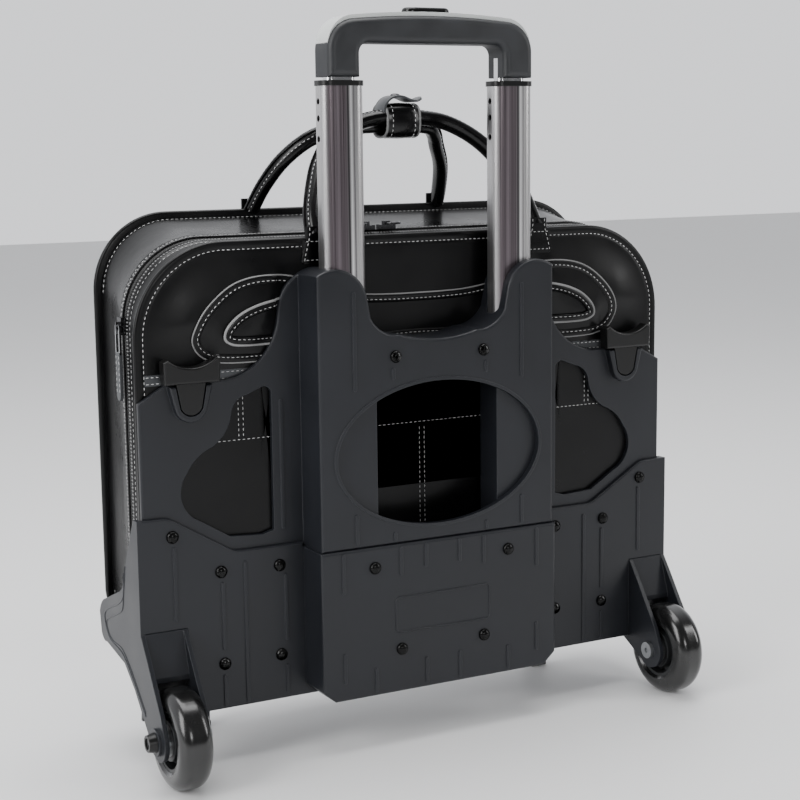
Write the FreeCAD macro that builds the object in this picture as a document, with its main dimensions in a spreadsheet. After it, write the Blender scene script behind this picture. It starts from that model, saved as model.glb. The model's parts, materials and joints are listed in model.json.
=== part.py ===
import FreeCAD, Part
import math
import os
import re
import Sketcher
from FreeCAD import Placement, Rotation, Vector

# A wheeled laptop case: a leather bag that rides on a moulded trolley frame with two wheels
# and a telescopic handle. Millimetres. +X is to the right as seen from the trolley side,
# -Y is the trolley side, +Z is up. The floor is Z 0 and the origin is below the middle.

doc = FreeCAD.newDocument("laptop_case")
sizes = doc.addObject("Spreadsheet::Sheet", "Sizes")

driving = {
    # bag
    "bag_wide": 432, "bag_deep": 101, "rear_tall": 284, "front_tall": 301,
    "rear_corner": 66, "front_corner": 56, "foot_corner": 24, "hide": 5,
    "gusset_in": 5, "gusset_wall": 2.6, "zip_start": 26, "zip_wide": 9, "zip_raise": 0.8,
    "soft_gap": 0.4, "board": 3, "sleeve": 6, "strap": 2.6,
    "loop_radius": 6, "rear_mid": 12.5, "rear_reach": 92.5, "front_mid": -6,
    "front_reach": 79.5, "loop_top": 453, "loop_drop": 12, "loop_apart": 15, "wrap_x": 12, "wrap_long": 40, "tab_wide": 26,
    "tab_thick": 2.2, "tab_rear": 17, "tab_front": 34, "run_clear": 0.3,
    "slider_long": 12, "slider_wide": 8, "slider_tall": 3.4, "slider_left_x": -25,
    "slider_right_x": -8, "side_slider_z": 311, "ring_radius": 5.5, "link_long": 18,
    "tab_long": 32,
    # frame mouldings
    "panel_y": -20.85, "wall": 3.2, "plate": 3.6, "side_gap": 2, "bag_gap": 0.4,
    "shelf_top": 83.6, "shelf_thick": 4, "shelf_deep": 85, "skirt_foot": 39.5, "skirt_top": 181.4,
    "skirt_mid": 152.4, "wing_shoulder": 261, "wing_top": 273, "sweep": 45,
    "column_half": 96, "column_out": 31, "column_top": 343, "cover_top": 149,
    "cover_lip": 1.6, "hole_half": 83, "hole_rise": 52, "hole_z": 212.7, "edge_round": 1.4,
    "bead_wide": 2.6, "bead_proud": 0.9,
    # wheels and axles
    "wheel_x": 204.5, "wheel_radius": 35, "wheel_wide": 24, "axle_back": 30.5, "cheek_gap": 2,
    "tyre_bed": 22, "crown_flat": 3.5, "bearing_radius": 11, "bearing_wide": 7, "axle_radius": 4,
    "run_gap": 0.05, "cheek_nose": 14, "nut_radius": 7, "nut_thick": 5.5, "guard_gap": 3.5,
    # telescopic handle
    "tube_x": 68.5, "tube_wide": 32, "tube_deep": 18.3, "tube_back": 13.7, "tube_wall": 1.4,
    "tube_corner": 7, "tube_top": 471.7, "tube_foot": 46, "collar_thick": 3.6, "collar_lip": 0.9,
    "stage_wide": 22.6, "stage_deep": 11, "stage_wall": 1.2, "stage_corner": 4.5,
    "stage_foot": 92, "slide_gap": 0.12, "grip_foot": 477.5, "grip_top": 519.4, "grip_half": 81.5,
    "grip_leg": 24, "grip_deep": 27, "grip_bar": 19, "trim_thick": 2.8,
    "grip_crown": 5, "grip_arch": 667, "grip_shoulder": 21,
    "button_half": 18, "button_deep": 13, "button_rise": 3.4,
    # latches
    "latch_x": 180, "latch_half": 20, "latch_tall": 17.5, "latch_deep": 10, "latch_travel": 7,
    "shield_tall": 33, "shield_out": 6.5, "slider_thick": 2.4,
    # stand feet and fasteners
    "leg_x": 150, "leg_y": 78, "leg_wide": 18, "leg_deep": 15, "pad_tall": 5,
    "screw_head": 4.2, "screw_head_tall": 2.2, "screw_shank": 1.8, "screw_gap": 0.2,
}
for line, (word, number) in enumerate(driving.items(), start=1):
    cell = "A%d" % line
    sizes.set(cell, str(number))
    sizes.setAlias(cell, word)
doc.recompute()


def bound(text):
    # an expression in which every named size is read from the sheet
    return re.sub(r"[a-z]\w*", lambda m: "Sizes." + m.group() if m.group() in driving else m.group(),
                  text)


def number(text):
    return float(doc.Sizes.evalExpression(bound(text)))


def bind(item, **texts):
    for name, text in texts.items():
        item.setExpression(name.replace("__", "."), bound(text))


# places that several pieces share
bag_foot = "(shelf_top + bag_gap)"
bag_back = "(panel_y + plate + bag_gap)"
wing_half = "(bag_wide / 2)"
skirt_half = "(bag_wide / 2 + side_gap + wall)"
cover_out = "(column_out + cover_lip)"
cover_half = "(column_half + cover_lip)"
tube_y = "(panel_y - tube_back)"
axle_y = "(panel_y - axle_back)"
cheek_in = "(wheel_x - wheel_wide / 2 - cheek_gap)"
side_in = "(bag_wide / 2 + side_gap)"
latch_z = "wing_top"


def mirrored(right):
    # the outline of both halves from the right half, listed from the bottom up
    left = []
    for index in range(len(right) - 1, -1, -1):
        arc = right[index - 1][2:] if index else ()
        left.append(("-(%s)" % right[index][0], right[index][1]) + tuple(arc))
    return right + left


def moved(points, across="0", up="0"):
    return [("%s + (%s)" % (across, p[0]), "%s + (%s)" % (up, p[1])) + tuple(p[2:]) for p in points]


def outline(sketch, points):
    # a closed outline; a third value is the radius of an arc to the next point,
    # positive with its centre on the left of the way along, negative on the right
    first = sketch.GeometryCount
    spots = [Vector(number(p[0]), number(p[1]), 0) for p in points]
    ends = []
    for index, point in enumerate(points):
        here = spots[index]
        there = spots[(index + 1) % len(points)]
        if len(point) == 2:
            sketch.addGeometry(Part.LineSegment(here, there))
            ends.append((1, 2))
            continue
        radius = number(point[2])
        chord = (there - here) * 0.5
        rise = math.sqrt(max(radius * radius - chord.Length * chord.Length, 0))
        side = Vector(-chord.y, chord.x, 0).normalize() * math.copysign(rise, radius)
        centre = here + chord + side
        circle = Part.Circle(centre, Vector(0, 0, 1), abs(radius))
        starts = circle.parameter(here)
        stops = circle.parameter(there)
        if radius < 0:
            starts, stops = stops, starts
        sketch.addGeometry(Part.ArcOfCircle(circle, starts, stops))
        ends.append((1, 2) if radius > 0 else (2, 1))
    for index in range(len(points)):
        following = (index + 1) % len(points)
        sketch.addConstraint(Sketcher.Constraint("Coincident", first + index, ends[index][1],
                                                 first + following, ends[following][0]))
    for index, point in enumerate(points):
        for kind, text in zip(("DistanceX", "DistanceY"), point):
            rule = sketch.addConstraint(Sketcher.Constraint(kind, first + index, ends[index][0],
                                                            number(text)))
            sketch.setExpression("Constraints[%d]" % rule, bound(text))
        if len(point) == 3:
            radius = point[2]
            rule = sketch.addConstraint(Sketcher.Constraint("Radius", first + index,
                                                            abs(number(radius))))
            sketch.setExpression("Constraints[%d]" % rule, "abs(%s)" % bound(radius))


def prism(label, plane, low, high, *outlines):
    # outlines in a plane, made solid from low to high along the plane's axis
    body = doc.addObject("PartDesign::Body", "Body")
    body.Label = label
    sketch = body.newObject("Sketcher::SketchObject", "Outline")
    for datum in body.Origin.OriginFeatures:
        if datum.Role == plane:
            sketch.AttachmentSupport = [(datum, "")]
    sketch.MapMode = "FlatFace"
    start = "-(%s)" % high if plane == "XZ_Plane" else low
    bind(sketch, AttachmentOffset__Base__z=start)
    for points in outlines:
        outline(sketch, points)
    doc.recompute()
    pad = body.newObject("PartDesign::Pad", "Pad")
    pad.Profile = sketch
    bind(pad, Length="(%s) - (%s)" % (high, low))
    doc.recompute()
    return body


def soften(body, radius, picked):
    # fillets on the edges of the body that a test picks
    base = body.Tip
    names = ["Edge%d" % (i + 1) for i, edge in enumerate(base.Shape.Edges) if picked(edge)]
    fillet = body.newObject("PartDesign::Fillet", "Round")
    fillet.Base = (base, names)
    bind(fillet, Radius=radius)
    doc.recompute()
    return body


def along(axis):
    # picks straight edges that run along an axis
    def test(edge):
        box = edge.BoundBox
        spans = {"X": box.XLength, "Y": box.YLength, "Z": box.ZLength}
        long = spans.pop(axis)
        return long > 0.01 and max(spans.values()) < 0.001
    return test


def lies(axis, text):
    # picks edges that lie in the plane where an axis has this value
    where = number(text)

    def test(edge):
        box = edge.BoundBox
        low, high = {"X": (box.XMin, box.XMax), "Y": (box.YMin, box.YMax),
                     "Z": (box.ZMin, box.ZMax)}[axis]
        return abs(low - where) < 0.001 and abs(high - where) < 0.001
    return test


def block(x0, x1, y0, y1, z0, z1, label="block"):
    item = doc.addObject("Part::Box", "Block")
    item.Label = label
    bind(item, Length="(%s) - (%s)" % (x1, x0), Width="(%s) - (%s)" % (y1, y0),
         Height="(%s) - (%s)" % (z1, z0), Placement__Base__x=x0, Placement__Base__y=y0,
         Placement__Base__z=z0)
    return item


turns = {"X": Rotation(Vector(0, 1, 0), 90), "Y": Rotation(Vector(1, 0, 0), -90), "Z": Rotation()}


def rod(axis, radius, length, x, y, z, label="rod"):
    # a cylinder from a point along +X, +Y or +Z
    item = doc.addObject("Part::Cylinder", "Rod")
    item.Label = label
    item.Placement = Placement(Vector(), turns[axis])
    bind(item, Radius=radius, Height=length, Placement__Base__x=x, Placement__Base__y=y,
         Placement__Base__z=z)
    return item


def cone(axis, wide, narrow, length, x, y, z, label="cone"):
    item = doc.addObject("Part::Cone", "Cone")
    item.Label = label
    item.Placement = Placement(Vector(), turns[axis])
    bind(item, Radius1=wide, Radius2=narrow, Height=length, Placement__Base__x=x,
         Placement__Base__y=y, Placement__Base__z=z)
    return item


def sound(item):
    doc.recompute([item])
    if item.Shape.isNull() or not item.Shape.isValid():
        raise RuntimeError("no sound shape: " + item.Label)
    return item


def fuse(label, *pieces):
    # one solid, joined a piece at a time
    whole = pieces[0]
    for piece in pieces[1:]:
        joined = doc.addObject("Part::Fuse", "Fuse")
        joined.Base = whole
        joined.Tool = piece
        joined.Refine = piece is pieces[-1]
        doc.recompute([joined])
        if joined.Shape.Volume < max(whole.Shape.Volume, piece.Shape.Volume):
            raise RuntimeError("a piece was lost in: " + label)
        whole = joined
    whole.Label = label
    doc.recompute()
    return sound(whole)


def loose(label, *pieces):
    # cutting tools, joined in one go
    item = doc.addObject("Part::MultiFuse", "Tools")
    item.Label = label
    item.Shapes = list(pieces)
    doc.recompute()
    return sound(item)


def cut(label, base, *tools):
    item = doc.addObject("Part::Cut", "Cut")
    item.Label = label
    item.Base = base
    item.Tool = tools[0] if len(tools) == 1 else loose(label + " tools", *tools)
    item.Refine = True
    doc.recompute()
    return sound(item)


def common(label, one, other):
    item = doc.addObject("Part::Common", "Common")
    item.Label = label
    item.Base = one
    item.Tool = other
    doc.recompute()
    return item


def group(label, *pieces):
    # separate solids in one node
    item = doc.addObject("Part::Compound", "Group")
    item.Label = label
    item.Links = list(pieces)
    doc.recompute()
    return item


def turned(label, axis_x, axis_y, axis_z, profile):
    # a solid of revolution about an axis along X; the profile is (along, out) points
    body = doc.addObject("PartDesign::Body", "Body")
    body.Label = label
    sketch = body.newObject("Sketcher::SketchObject", "Profile")
    for datum in body.Origin.OriginFeatures:
        if datum.Role == "XY_Plane":
            sketch.AttachmentSupport = [(datum, "")]
    sketch.MapMode = "FlatFace"
    outline(sketch, profile)
    doc.recompute()
    spin = body.newObject("PartDesign::Revolution", "Spin")
    spin.Profile = sketch
    spin.ReferenceAxis = (sketch, ["H_Axis"])
    spin.Angle = 360
    doc.recompute()
    bind(body, Placement__Base__x=axis_x, Placement__Base__y=axis_y, Placement__Base__z=axis_z)
    doc.recompute()
    return body


nodes = []


def keep(*items):
    nodes.extend(items)
    return items[0]


sides = {"left": "-", "right": ""}

# ---------------------------------------------------------------- tubes of the handle


def tube_outline(across, deep, centre_x, centre_y):
    x0, x1 = "%s - %s / 2" % (centre_x, across), "%s + %s / 2" % (centre_x, across)
    y0, y1 = "%s - %s / 2" % (centre_y, deep), "%s + %s / 2" % (centre_y, deep)
    return [(x0, y0), (x1, y0), (x1, y1), (x0, y1)]


def tube(label, across, deep, corner, low, high, centre_x, grow="0"):
    # an upright bar of flat-oval section, or its bore when it is grown by a negative amount
    across = "(%s + 2 * (%s))" % (across, grow)
    deep = "(%s + 2 * (%s))" % (deep, grow)
    body = prism(label, "XY_Plane", low, high, tube_outline(across, deep, centre_x, tube_y))
    return soften(body, "%s + (%s)" % (corner, grow), along("Z"))


def outer_bar(label, low, high, centre_x, grow="0"):
    return tube(label, "tube_wide", "tube_deep", "tube_corner", low, high, centre_x, grow)


def stage_bar(label, low, high, centre_x, grow="0"):
    return tube(label, "stage_wide", "stage_deep", "stage_corner", low, high, centre_x, grow)


pin_holes = (10.5, 22, 36)

for side, sign in sides.items():
    x = "(%stube_x)" % sign
    skin = outer_bar("tube skin", "tube_foot", "tube_top", x)
    bore = outer_bar("tube bore", "tube_foot - 1", "tube_top + 1", x, "-tube_wall")
    holes = [rod("X", "2.2", "tube_wide + 4", x + " - tube_wide / 2 - 2", tube_y,
                 "tube_top - %s" % drop) for drop in pin_holes]
    keep(cut("outer_tube_" + side, skin, bore, *holes))

    cap = outer_bar("collar skin", "tube_top", "tube_top + collar_thick", x, "collar_lip")
    plug = outer_bar("collar plug", "tube_top - 8", "tube_top + 0.1", x, "-tube_wall - 0.1")
    slot = stage_bar("collar slot", "tube_top - 9", "tube_top + collar_thick + 1", x, "slide_gap")
    keep(cut("tube_collar_" + side, fuse("collar blank", cap, plug), slot))

    skin = stage_bar("stage skin", "stage_foot", "grip_foot + 14", x)
    bore = stage_bar("stage bore", "stage_foot - 1", "grip_foot + 15", x, "-stage_wall")
    keep(cut("inner_tube_" + side, skin, bore))

    shoe = outer_bar("shoe", "stage_foot - 22", "stage_foot", x, "-tube_wall - slide_gap")
    tongue = stage_bar("shoe tongue", "stage_foot - 1", "stage_foot + 14", x,
                       "-stage_wall - slide_gap")
    passage = rod("Z", "2", "60", x, tube_y, "stage_foot - 30")
    keep(cut("glide_shoe_" + side, fuse("shoe blank", shoe, tongue), passage))

# ---------------------------------------------------------------- back panel of the frame

# the top line of the raised column on the right: lobe over the tube, then down to the saddle
lobe_line = [
    ("column_half", "column_top", "25"),
    ("column_half - 38.5", "column_top - 15"),
    ("column_half - 41.5", "column_top - 31", "-25"),
    ("column_half - 65", "column_top - 44", "-110"),
]


def column_outline(low):
    return mirrored([("column_half", low)] + lobe_line)


# inner outline of the column, one wall inside the outer one
inner_lobe = [
    ("column_half - wall", "column_top - wall", "25 - wall"),
    ("column_half - 38.5 + wall", "column_top - 15 - wall / 2"),
    ("column_half - 41.5 + wall", "column_top - 31 - wall", "-25 - wall"),
    ("column_half - 65 + wall / 2", "column_top - 44 - wall", "-110 - wall"),
]


def inner_column_outline(low):
    return mirrored([("column_half - wall", low)] + inner_lobe)


wing_line = [
    (wing_half, "shelf_top + 3"),
    (wing_half, "wing_shoulder"),
    (wing_half + " - 20.5", "wing_top"),
    ("column_half + 16 + sweep", "wing_top", "-sweep"),
    ("column_half + 16", "wing_top + sweep", "30"),
]
wing_plate = prism("wings", "XZ_Plane", "panel_y", "panel_y + plate",
                   mirrored(wing_line + lobe_line))
soften(wing_plate, "edge_round", lies("Y", "panel_y"))

column_skin = prism("column skin", "XZ_Plane", "panel_y - column_out", "panel_y + plate",
                    column_outline("cover_top"))
soften(column_skin, "edge_round * 1.5", lies("Y", "panel_y - column_out"))
column_hollow = prism("column hollow", "XZ_Plane", "panel_y - column_out + wall",
                      "panel_y + plate + 1", inner_column_outline("cover_top - 80"))

# opening in each wing beside the column
wing_hole_line = [
    ("column_half + 22.5", "skirt_mid + 11"),
    ("column_half + 31", "skirt_mid + 8.5"),
    ("column_half + 56", "skirt_mid + 10"),
    ("column_half + 78", "skirt_mid + 23.5", "22"),
    ("column_half + 86.5", "skirt_mid + 58", "32"),
    ("column_half + 68", "skirt_mid + 74.5", "-30"),
    ("column_half + 53", "skirt_mid + 96", "14"),
    ("column_half + 41", "skirt_mid + 109"),
    ("column_half + 28", "skirt_mid + 114", "8"),
    ("column_half + 22.5", "skirt_mid + 110"),
]


def wing_hole(sign, grow="0", low="panel_y - 1", high="panel_y + plate + 1"):
    line = [("%s(%s)" % (sign, p[0]), p[1]) + tuple("-(%s)" % r if sign == "-" else r
                                                    for r in p[2:]) for p in wing_hole_line]
    return prism("wing hole", "XZ_Plane", low, high, line)


def oval(x, z, across, rise, low, high):
    # an elliptical bar along Y
    ring = doc.addObject("Part::Ellipse", "Oval")
    ring.Placement = Placement(Vector(), Rotation(Vector(1, 0, 0), 90))
    bind(ring, MajorRadius=across, MinorRadius=rise, Placement__Base__x=x, Placement__Base__z=z,
         Placement__Base__y=high)
    bar = doc.addObject("Part::Extrusion", "Bar")
    bar.Base = ring
    bar.DirMode = "Custom"
    bar.Dir = Vector(0, -1, 0)
    bar.Solid = True
    bind(bar, LengthFwd="(%s) - (%s)" % (high, low))
    doc.recompute()
    return bar


column_oval = oval("0", "hole_z", "hole_half", "hole_rise", "panel_y - column_out - 1",
                   "panel_y - column_out + wall + 2")
oval_rim = cut("oval rim",
               oval("0", "hole_z", "hole_half + 2.4", "hole_rise + 2.4",
                    "panel_y - column_out - 0.8", "panel_y - column_out + wall + 0.6"),
               oval("0", "hole_z", "hole_half", "hole_rise", "panel_y - column_out - 2",
                    "panel_y - column_out + wall + 2"))


def bead_line(x, z0, z1):
    half = "bead_wide / 2"
    cap = "bead_wide * 0.52"
    return [("%s + %s" % (x, half), z0), ("%s + %s" % (x, half), z1, cap),
            ("%s - %s" % (x, half), z1), ("%s - %s" % (x, half), z0, cap)]


def beads(face_y, places):
    # raised stiffening ribs on a face, each with round ends
    lines = []
    for x, z0, z1 in places:
        lines.append(bead_line("(%s)" % x, z0, z1))
        lines.append(bead_line("(-(%s))" % x, z0, z1))
    return prism("ribs", "XZ_Plane", "%s - bead_proud" % face_y, "%s + 1" % face_y, *lines)


wing_ribs = beads("panel_y", [("column_half + 15.5", "skirt_mid + 12", "wing_top - 18")])
column_ribs = beads("(panel_y - column_out)", [
    ("tube_x", "hole_z + 50", "column_top - 13"),
    ("tube_x", "cover_top + 4", "hole_z - 40"),
    ("column_half - 58", "cover_top + 3", "hole_z - 56"),
    ("column_half - 58", "hole_z + 56", "column_top - 68"),
])

# shield-shaped boss that guides each latch slider, with a window for its travel
shield_line = [
    ("0 - 15.8", "0 - 1.2"), ("0 - 11.2", "3 - shield_tall + 11", "12"),
    ("11.2", "3 - shield_tall + 11"), ("15.8", "0 - 1.2"),
]
window_line = [
    ("0 - 11.6", "0"), ("0 - 8.4", "3 - shield_tall + 13", "9.2"),
    ("8.4", "3 - shield_tall + 13"), ("11.6", "0"),
]


def shield(sign):
    x = "(%slatch_x)" % sign
    boss = prism("shield", "XZ_Plane", "panel_y - shield_out", "panel_y + 0.4",
                 moved(shield_line, x, latch_z))
    soften(boss, "1.6", lies("Y", "panel_y - shield_out"))
    return boss


def latch_cuts(sign):
    # the slider's window in the boss and the tooth's notch in the wing
    x = "(%slatch_x)" % sign
    window = prism("window", "XZ_Plane", "panel_y - shield_out - 1", "panel_y",
                   moved(window_line, x, latch_z))
    notch = block(x + " - 11", x + " + 11", "panel_y - 1", "panel_y + plate + 1",
                  "wing_top - latch_travel - 2", "wing_top + 5")
    return window, notch


def spring_ledge(sign):
    x = "(%slatch_x)" % sign
    return block(x + " - 2.4", x + " + 2.4", "panel_y - 2.8", "panel_y + 0.4",
                 "wing_top - 27", "wing_top - 25")


screw_places = {
    "skirt": [("column_half + 100", "skirt_mid + 15.5"), ("column_half + 65", "skirt_mid - 13.5"),
              ("column_half + 64", "skirt_foot + 33"), ("column_half + 20.5", "skirt_mid - 14.5"),
              ("column_half + 20.5", "skirt_foot + 33")],
    "cover": [("tube_x - 13", "cover_top - 15"), ("tube_x - 34", "skirt_foot + 32")],
    "column": [("tube_x - 32.5", "column_top - 59")],
}


def screw_spots(key):
    for x, z in screw_places[key]:
        for sign in sides.values():
            yield "%s(%s)" % (sign, x), z


def screws(label, key, face, length):
    # round-headed screws driven in along +Y
    made = []
    for x, z in screw_spots(key):
        head = cone("Y", "screw_head * 0.72", "screw_head", "screw_head_tall", x,
                    "%s - screw_head_tall" % face, z)
        shank = rod("Y", "screw_shank", length, x, "%s - 0.2" % face, z)
        made.append(fuse("screw", head, shank))
    return keep(group(label, *made))


def screw_holes(key, low, length):
    return [rod("Y", "screw_shank + screw_gap", length, x, low, z) for x, z in screw_spots(key)]


def back_panel():
    tube_slots = [outer_bar("slot", "column_top - 40", "column_top + 20", "(%stube_x)" % sign, "0.5")
                  for sign in sides.values()]
    plain = cut("plate and holes", wing_plate, column_hollow, wing_hole("-"), wing_hole(""))
    raised = cut("column shell", column_skin, column_hollow, column_oval)
    windows = [piece for sign in sides.values() for piece in latch_cuts(sign)]
    body = fuse("panel blank", plain, raised, oval_rim, wing_ribs, column_ribs, shield("-"),
                shield(""))
    body = cut("panel cut", body, *(tube_slots + windows + screw_holes("skirt", "panel_y - 1", "8")
                                    + screw_holes("column", "panel_y - column_out - 2", "8")))
    return keep(fuse("back_panel", body, spring_ledge("-"), spring_ledge("")))


back_panel()
screws("column_screws", "column", "(panel_y - column_out)", "6.5")

# ---------------------------------------------------------------- base shroud with the shelf

skirt_line = [
    (cheek_in + " - wall", "skirt_foot"),
    (cheek_in + " - wall", "skirt_foot + 62.3"),
    (skirt_half, "skirt_foot + 62.3"),
    (skirt_half, "skirt_top"),
    (skirt_half + " - 23", "skirt_top"),
    (skirt_half + " - 71", "skirt_mid"),
    (cover_half, "skirt_mid"),
    (cover_half, "cover_top - 0.2"),
]


def yz(points):
    # points given as distance forward of the panel's rear face, and height
    return [("panel_y + (%s)" % p[0], p[1]) + tuple(p[2:]) for p in points]


nose_low = ("0 - axle_back + cheek_nose * 0.68", "wheel_radius - cheek_nose * 0.733",
            "0 - cheek_nose")
nose_high = ("0 - axle_back - cheek_nose * 0.97", "wheel_radius + cheek_nose * 0.243")
fork_edge = [
    ("0 - axle_back - 7", "wheel_radius + 19"),
    ("0 - axle_back + 4.5", "wheel_radius + 35"),
    ("0 - axle_back + 18.5", "wheel_radius + 55"),
    ("0 - wall", "skirt_foot + 62.3"),
]
side_line = yz([
    ("0 - wall", "skirt_top"),
    ("4.6", "skirt_top"),
    ("20.6", "skirt_top - 29.6"),
    ("29", "shelf_top + 49", "20"),
    ("42", "shelf_top + 38.6"),
    ("shelf_deep - 14", "shelf_top + 27", "-20"),
    ("shelf_deep", "shelf_top + 14.5"),
    ("shelf_deep - 2.6", "shelf_top - shelf_thick + 4", "-9"),
    ("shelf_deep - 14", "shelf_top - shelf_thick - 1"),
    ("33.3", "shelf_top - shelf_thick - 7"),
    ("13.6", "58.7"),
    ("0 - 8.5", "37.3"),
    nose_low, nose_high] + fork_edge)
inner_cheek_line = yz([
    ("0 - wall", "skirt_foot + 62.3"),
    ("0", "skirt_foot + 62.3"),
    ("6", "skirt_foot + 50"),
    ("10", "skirt_foot + 24"),
    ("4", "skirt_foot - 2"),
    nose_low, nose_high] + fork_edge[:-1])


def mudguard(sign, x0, x1):
    # arched wall over the wheel, between the fork cheeks
    start = x0 if sign == "" else "-(%s)" % x1
    long = "(%s) - (%s)" % (x1, x0)
    outer = rod("X", "wheel_radius + guard_gap + wall", long, start, axle_y, "wheel_radius")
    inner = rod("X", "wheel_radius + guard_gap", long, start, axle_y, "wheel_radius")
    zone = block(start, "(%s) + (%s)" % (start, long), "panel_y - 13", "panel_y + 30", "37", "76")
    arch = common("arch", cut("arch ring", outer, inner), zone)
    roof = prism("roof", "YZ_Plane", start, "(%s) + (%s)" % (start, long), yz([
        ("0 - wall", "skirt_foot + 62.3"), ("0", "skirt_foot + 62.3"), ("0", "skirt_foot + 56"),
        ("0 - 8.5", "wheel_radius + 35"), ("0 - 12.9", "wheel_radius + 34.9"),
        ("0 - 13", "wheel_radius + 38")]))
    return arch, roof


def base_shroud():
    skin = prism("skirt", "XZ_Plane", "panel_y - wall", "panel_y", mirrored(skirt_line))
    bends = [number(skirt_half + " - 23"), number(skirt_half + " - 71")]
    soften(skin, "16", lambda edge: along("Y")(edge)
           and any(abs(abs(edge.BoundBox.XMin) - bend) < 0.01 for bend in bends))
    soften(skin, "edge_round", lies("Y", "panel_y - wall"))
    # the shelf reaches into both flanks, and its front lip stands clear of them
    ends = "(%s + wall / 3)" % side_in
    lip = "(%s - 8)" % side_in
    pieces = [block("-" + ends, ends, "panel_y - 0.5", "panel_y + shelf_deep - 12",
                    "shelf_top - shelf_thick", "shelf_top")]
    pieces.append(block("-" + lip, lip, "panel_y + shelf_deep - 13", "panel_y + shelf_deep - 1",
                        "shelf_top - shelf_thick", "shelf_top"))
    pieces.append(block("-" + lip, lip, "panel_y + shelf_deep - 4", "panel_y + shelf_deep - 1",
                        "shelf_top - 14", "shelf_top"))
    for x in ("0 - 110", "0 - 50", "50", "110"):
        pieces.append(prism("gusset rib", "YZ_Plane", x + " - 1.4", x + " + 1.4", yz([
            ("0 - 0.5", "skirt_foot + 4"), ("0 - 0.5", "shelf_top - shelf_thick + 0.5"),
            ("shelf_deep - 3", "shelf_top - shelf_thick + 0.5"),
            ("shelf_deep - 3", "shelf_top - 12")])))
    pieces.append(skin)
    for sign in sides.values():
        low, high = (side_in, skirt_half) if sign == "" else ("-" + skirt_half, "-" + side_in)
        flank = prism("flank", "YZ_Plane", low, high, side_line)
        inner_low = cheek_in + " - wall" if sign == "" else "-" + cheek_in
        inner_high = cheek_in if sign == "" else "wall - " + cheek_in
        cheek = prism("cheek", "YZ_Plane", inner_low, inner_high, inner_cheek_line)
        pieces += [flank, cheek]
        pieces += mudguard(sign, cheek_in, side_in)
        start = skirt_half if sign == "" else "-%s - 2.4" % skirt_half
        pieces.append(rod("X", "9.5", "2.4", start, axle_y, "wheel_radius"))
    pieces.append(beads("(panel_y - wall)", [
        ("column_half + 99", "skirt_foot + 70", "skirt_top - 22"),
        ("column_half + 64", "skirt_foot + 44", "skirt_mid - 22"),
        ("column_half + 64", "skirt_foot + 3", "skirt_foot + 24"),
        ("column_half + 47", "skirt_foot + 3", "skirt_mid - 9"),
        ("column_half + 16", "skirt_foot + 44", "skirt_mid - 22"),
        ("column_half + 16", "skirt_foot + 5", "skirt_foot + 24"),
    ]))
    blank = fuse("shroud blank", *pieces)
    drills = screw_holes("skirt", "panel_y - wall - 3", "8")
    # room behind the skirt for the back plate and the bag
    drills.append(block("0.2 - " + side_in, side_in + " - 0.2", "panel_y", "panel_y + 24",
                        "shelf_top", "shelf_top + 40"))
    drills.append(rod("X", "axle_radius + 0.1", "600", "0 - 300", axle_y, "wheel_radius"))
    return keep(cut("base_shroud", blank, *drills))


base_shroud()
screws("skirt_screws", "skirt", "(panel_y - wall)", "6.2")

# ---------------------------------------------------------------- lower cover over the tube feet


def lower_cover():
    face = "(panel_y - %s)" % cover_out
    skin_line = mirrored([(cover_half + " - 10", "skirt_foot"), (cover_half, "skirt_foot + 9"),
                          (cover_half, "cover_top")])
    skin = prism("cover skin", "XZ_Plane", face, "panel_y - wall", skin_line)
    soften(skin, "edge_round * 1.5", lies("Y", face))
    line = mirrored([(cover_half + " - 10 - wall / 2", "skirt_foot + wall"),
                     (cover_half + " - wall", "skirt_foot + 9 + wall / 2"),
                     (cover_half + " - wall", "cover_top + 1")])
    hollow = prism("cover hollow", "XZ_Plane", face + " + wall", "panel_y - wall + 1", line)
    ribs = beads(face, [
        ("tube_x + 12", "cover_top - 30", "cover_top - 3"),
        ("tube_x + 12", "skirt_foot + 14", "skirt_foot + 34"),
        ("tube_x - 34", "cover_top - 22", "cover_top - 3"),
        ("tube_x - 13", "skirt_foot + 4", "skirt_foot + 20"),
        ("14", "cover_top - 18", "cover_top - 3"),
        ("14", "skirt_foot + 4", "skirt_foot + 22"),
    ])
    shell = cut("cover shell", fuse("cover blank", skin, ribs), hollow)
    return keep(cut("lower_cover", shell, *screw_holes("cover", face + " - 2", "8")))


lower_cover()
screws("cover_screws", "cover", "(panel_y - %s)" % cover_out, "7.5")

for side, sign in sides.items():
    x = "(%stube_x)" % sign
    socket = block(x + " - tube_wide / 2 - 3", x + " + tube_wide / 2 + 3",
                   "panel_y - column_out + wall + 1.4", "panel_y - wall - 0.2",
                   "skirt_foot + wall + 1.8", "tube_foot + 34")
    pocket = outer_bar("pocket", "tube_foot", "tube_foot + 40", x, "0.02")
    keep(cut("tube_socket_" + side, socket, pocket))
    sleeve = block(x + " - tube_wide / 2 - 3", x + " + tube_wide / 2 + 3",
                   "panel_y - column_out + wall + 0.8", "panel_y - wall - 0.2",
                   "cover_top + 4", "hole_z + hole_rise + 16")
    bore = outer_bar("bore", "cover_top", "hole_z + hole_rise + 20", x, "0.3")
    mouth = block(x + " - tube_wide / 2 + 4", x + " + tube_wide / 2 - 4", tube_y, "panel_y",
                  "cover_top", "hole_z + hole_rise + 20")
    keep(cut("tube_guard_" + side, sleeve, bore, mouth))

# ---------------------------------------------------------------- stand legs under the shelf

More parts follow.
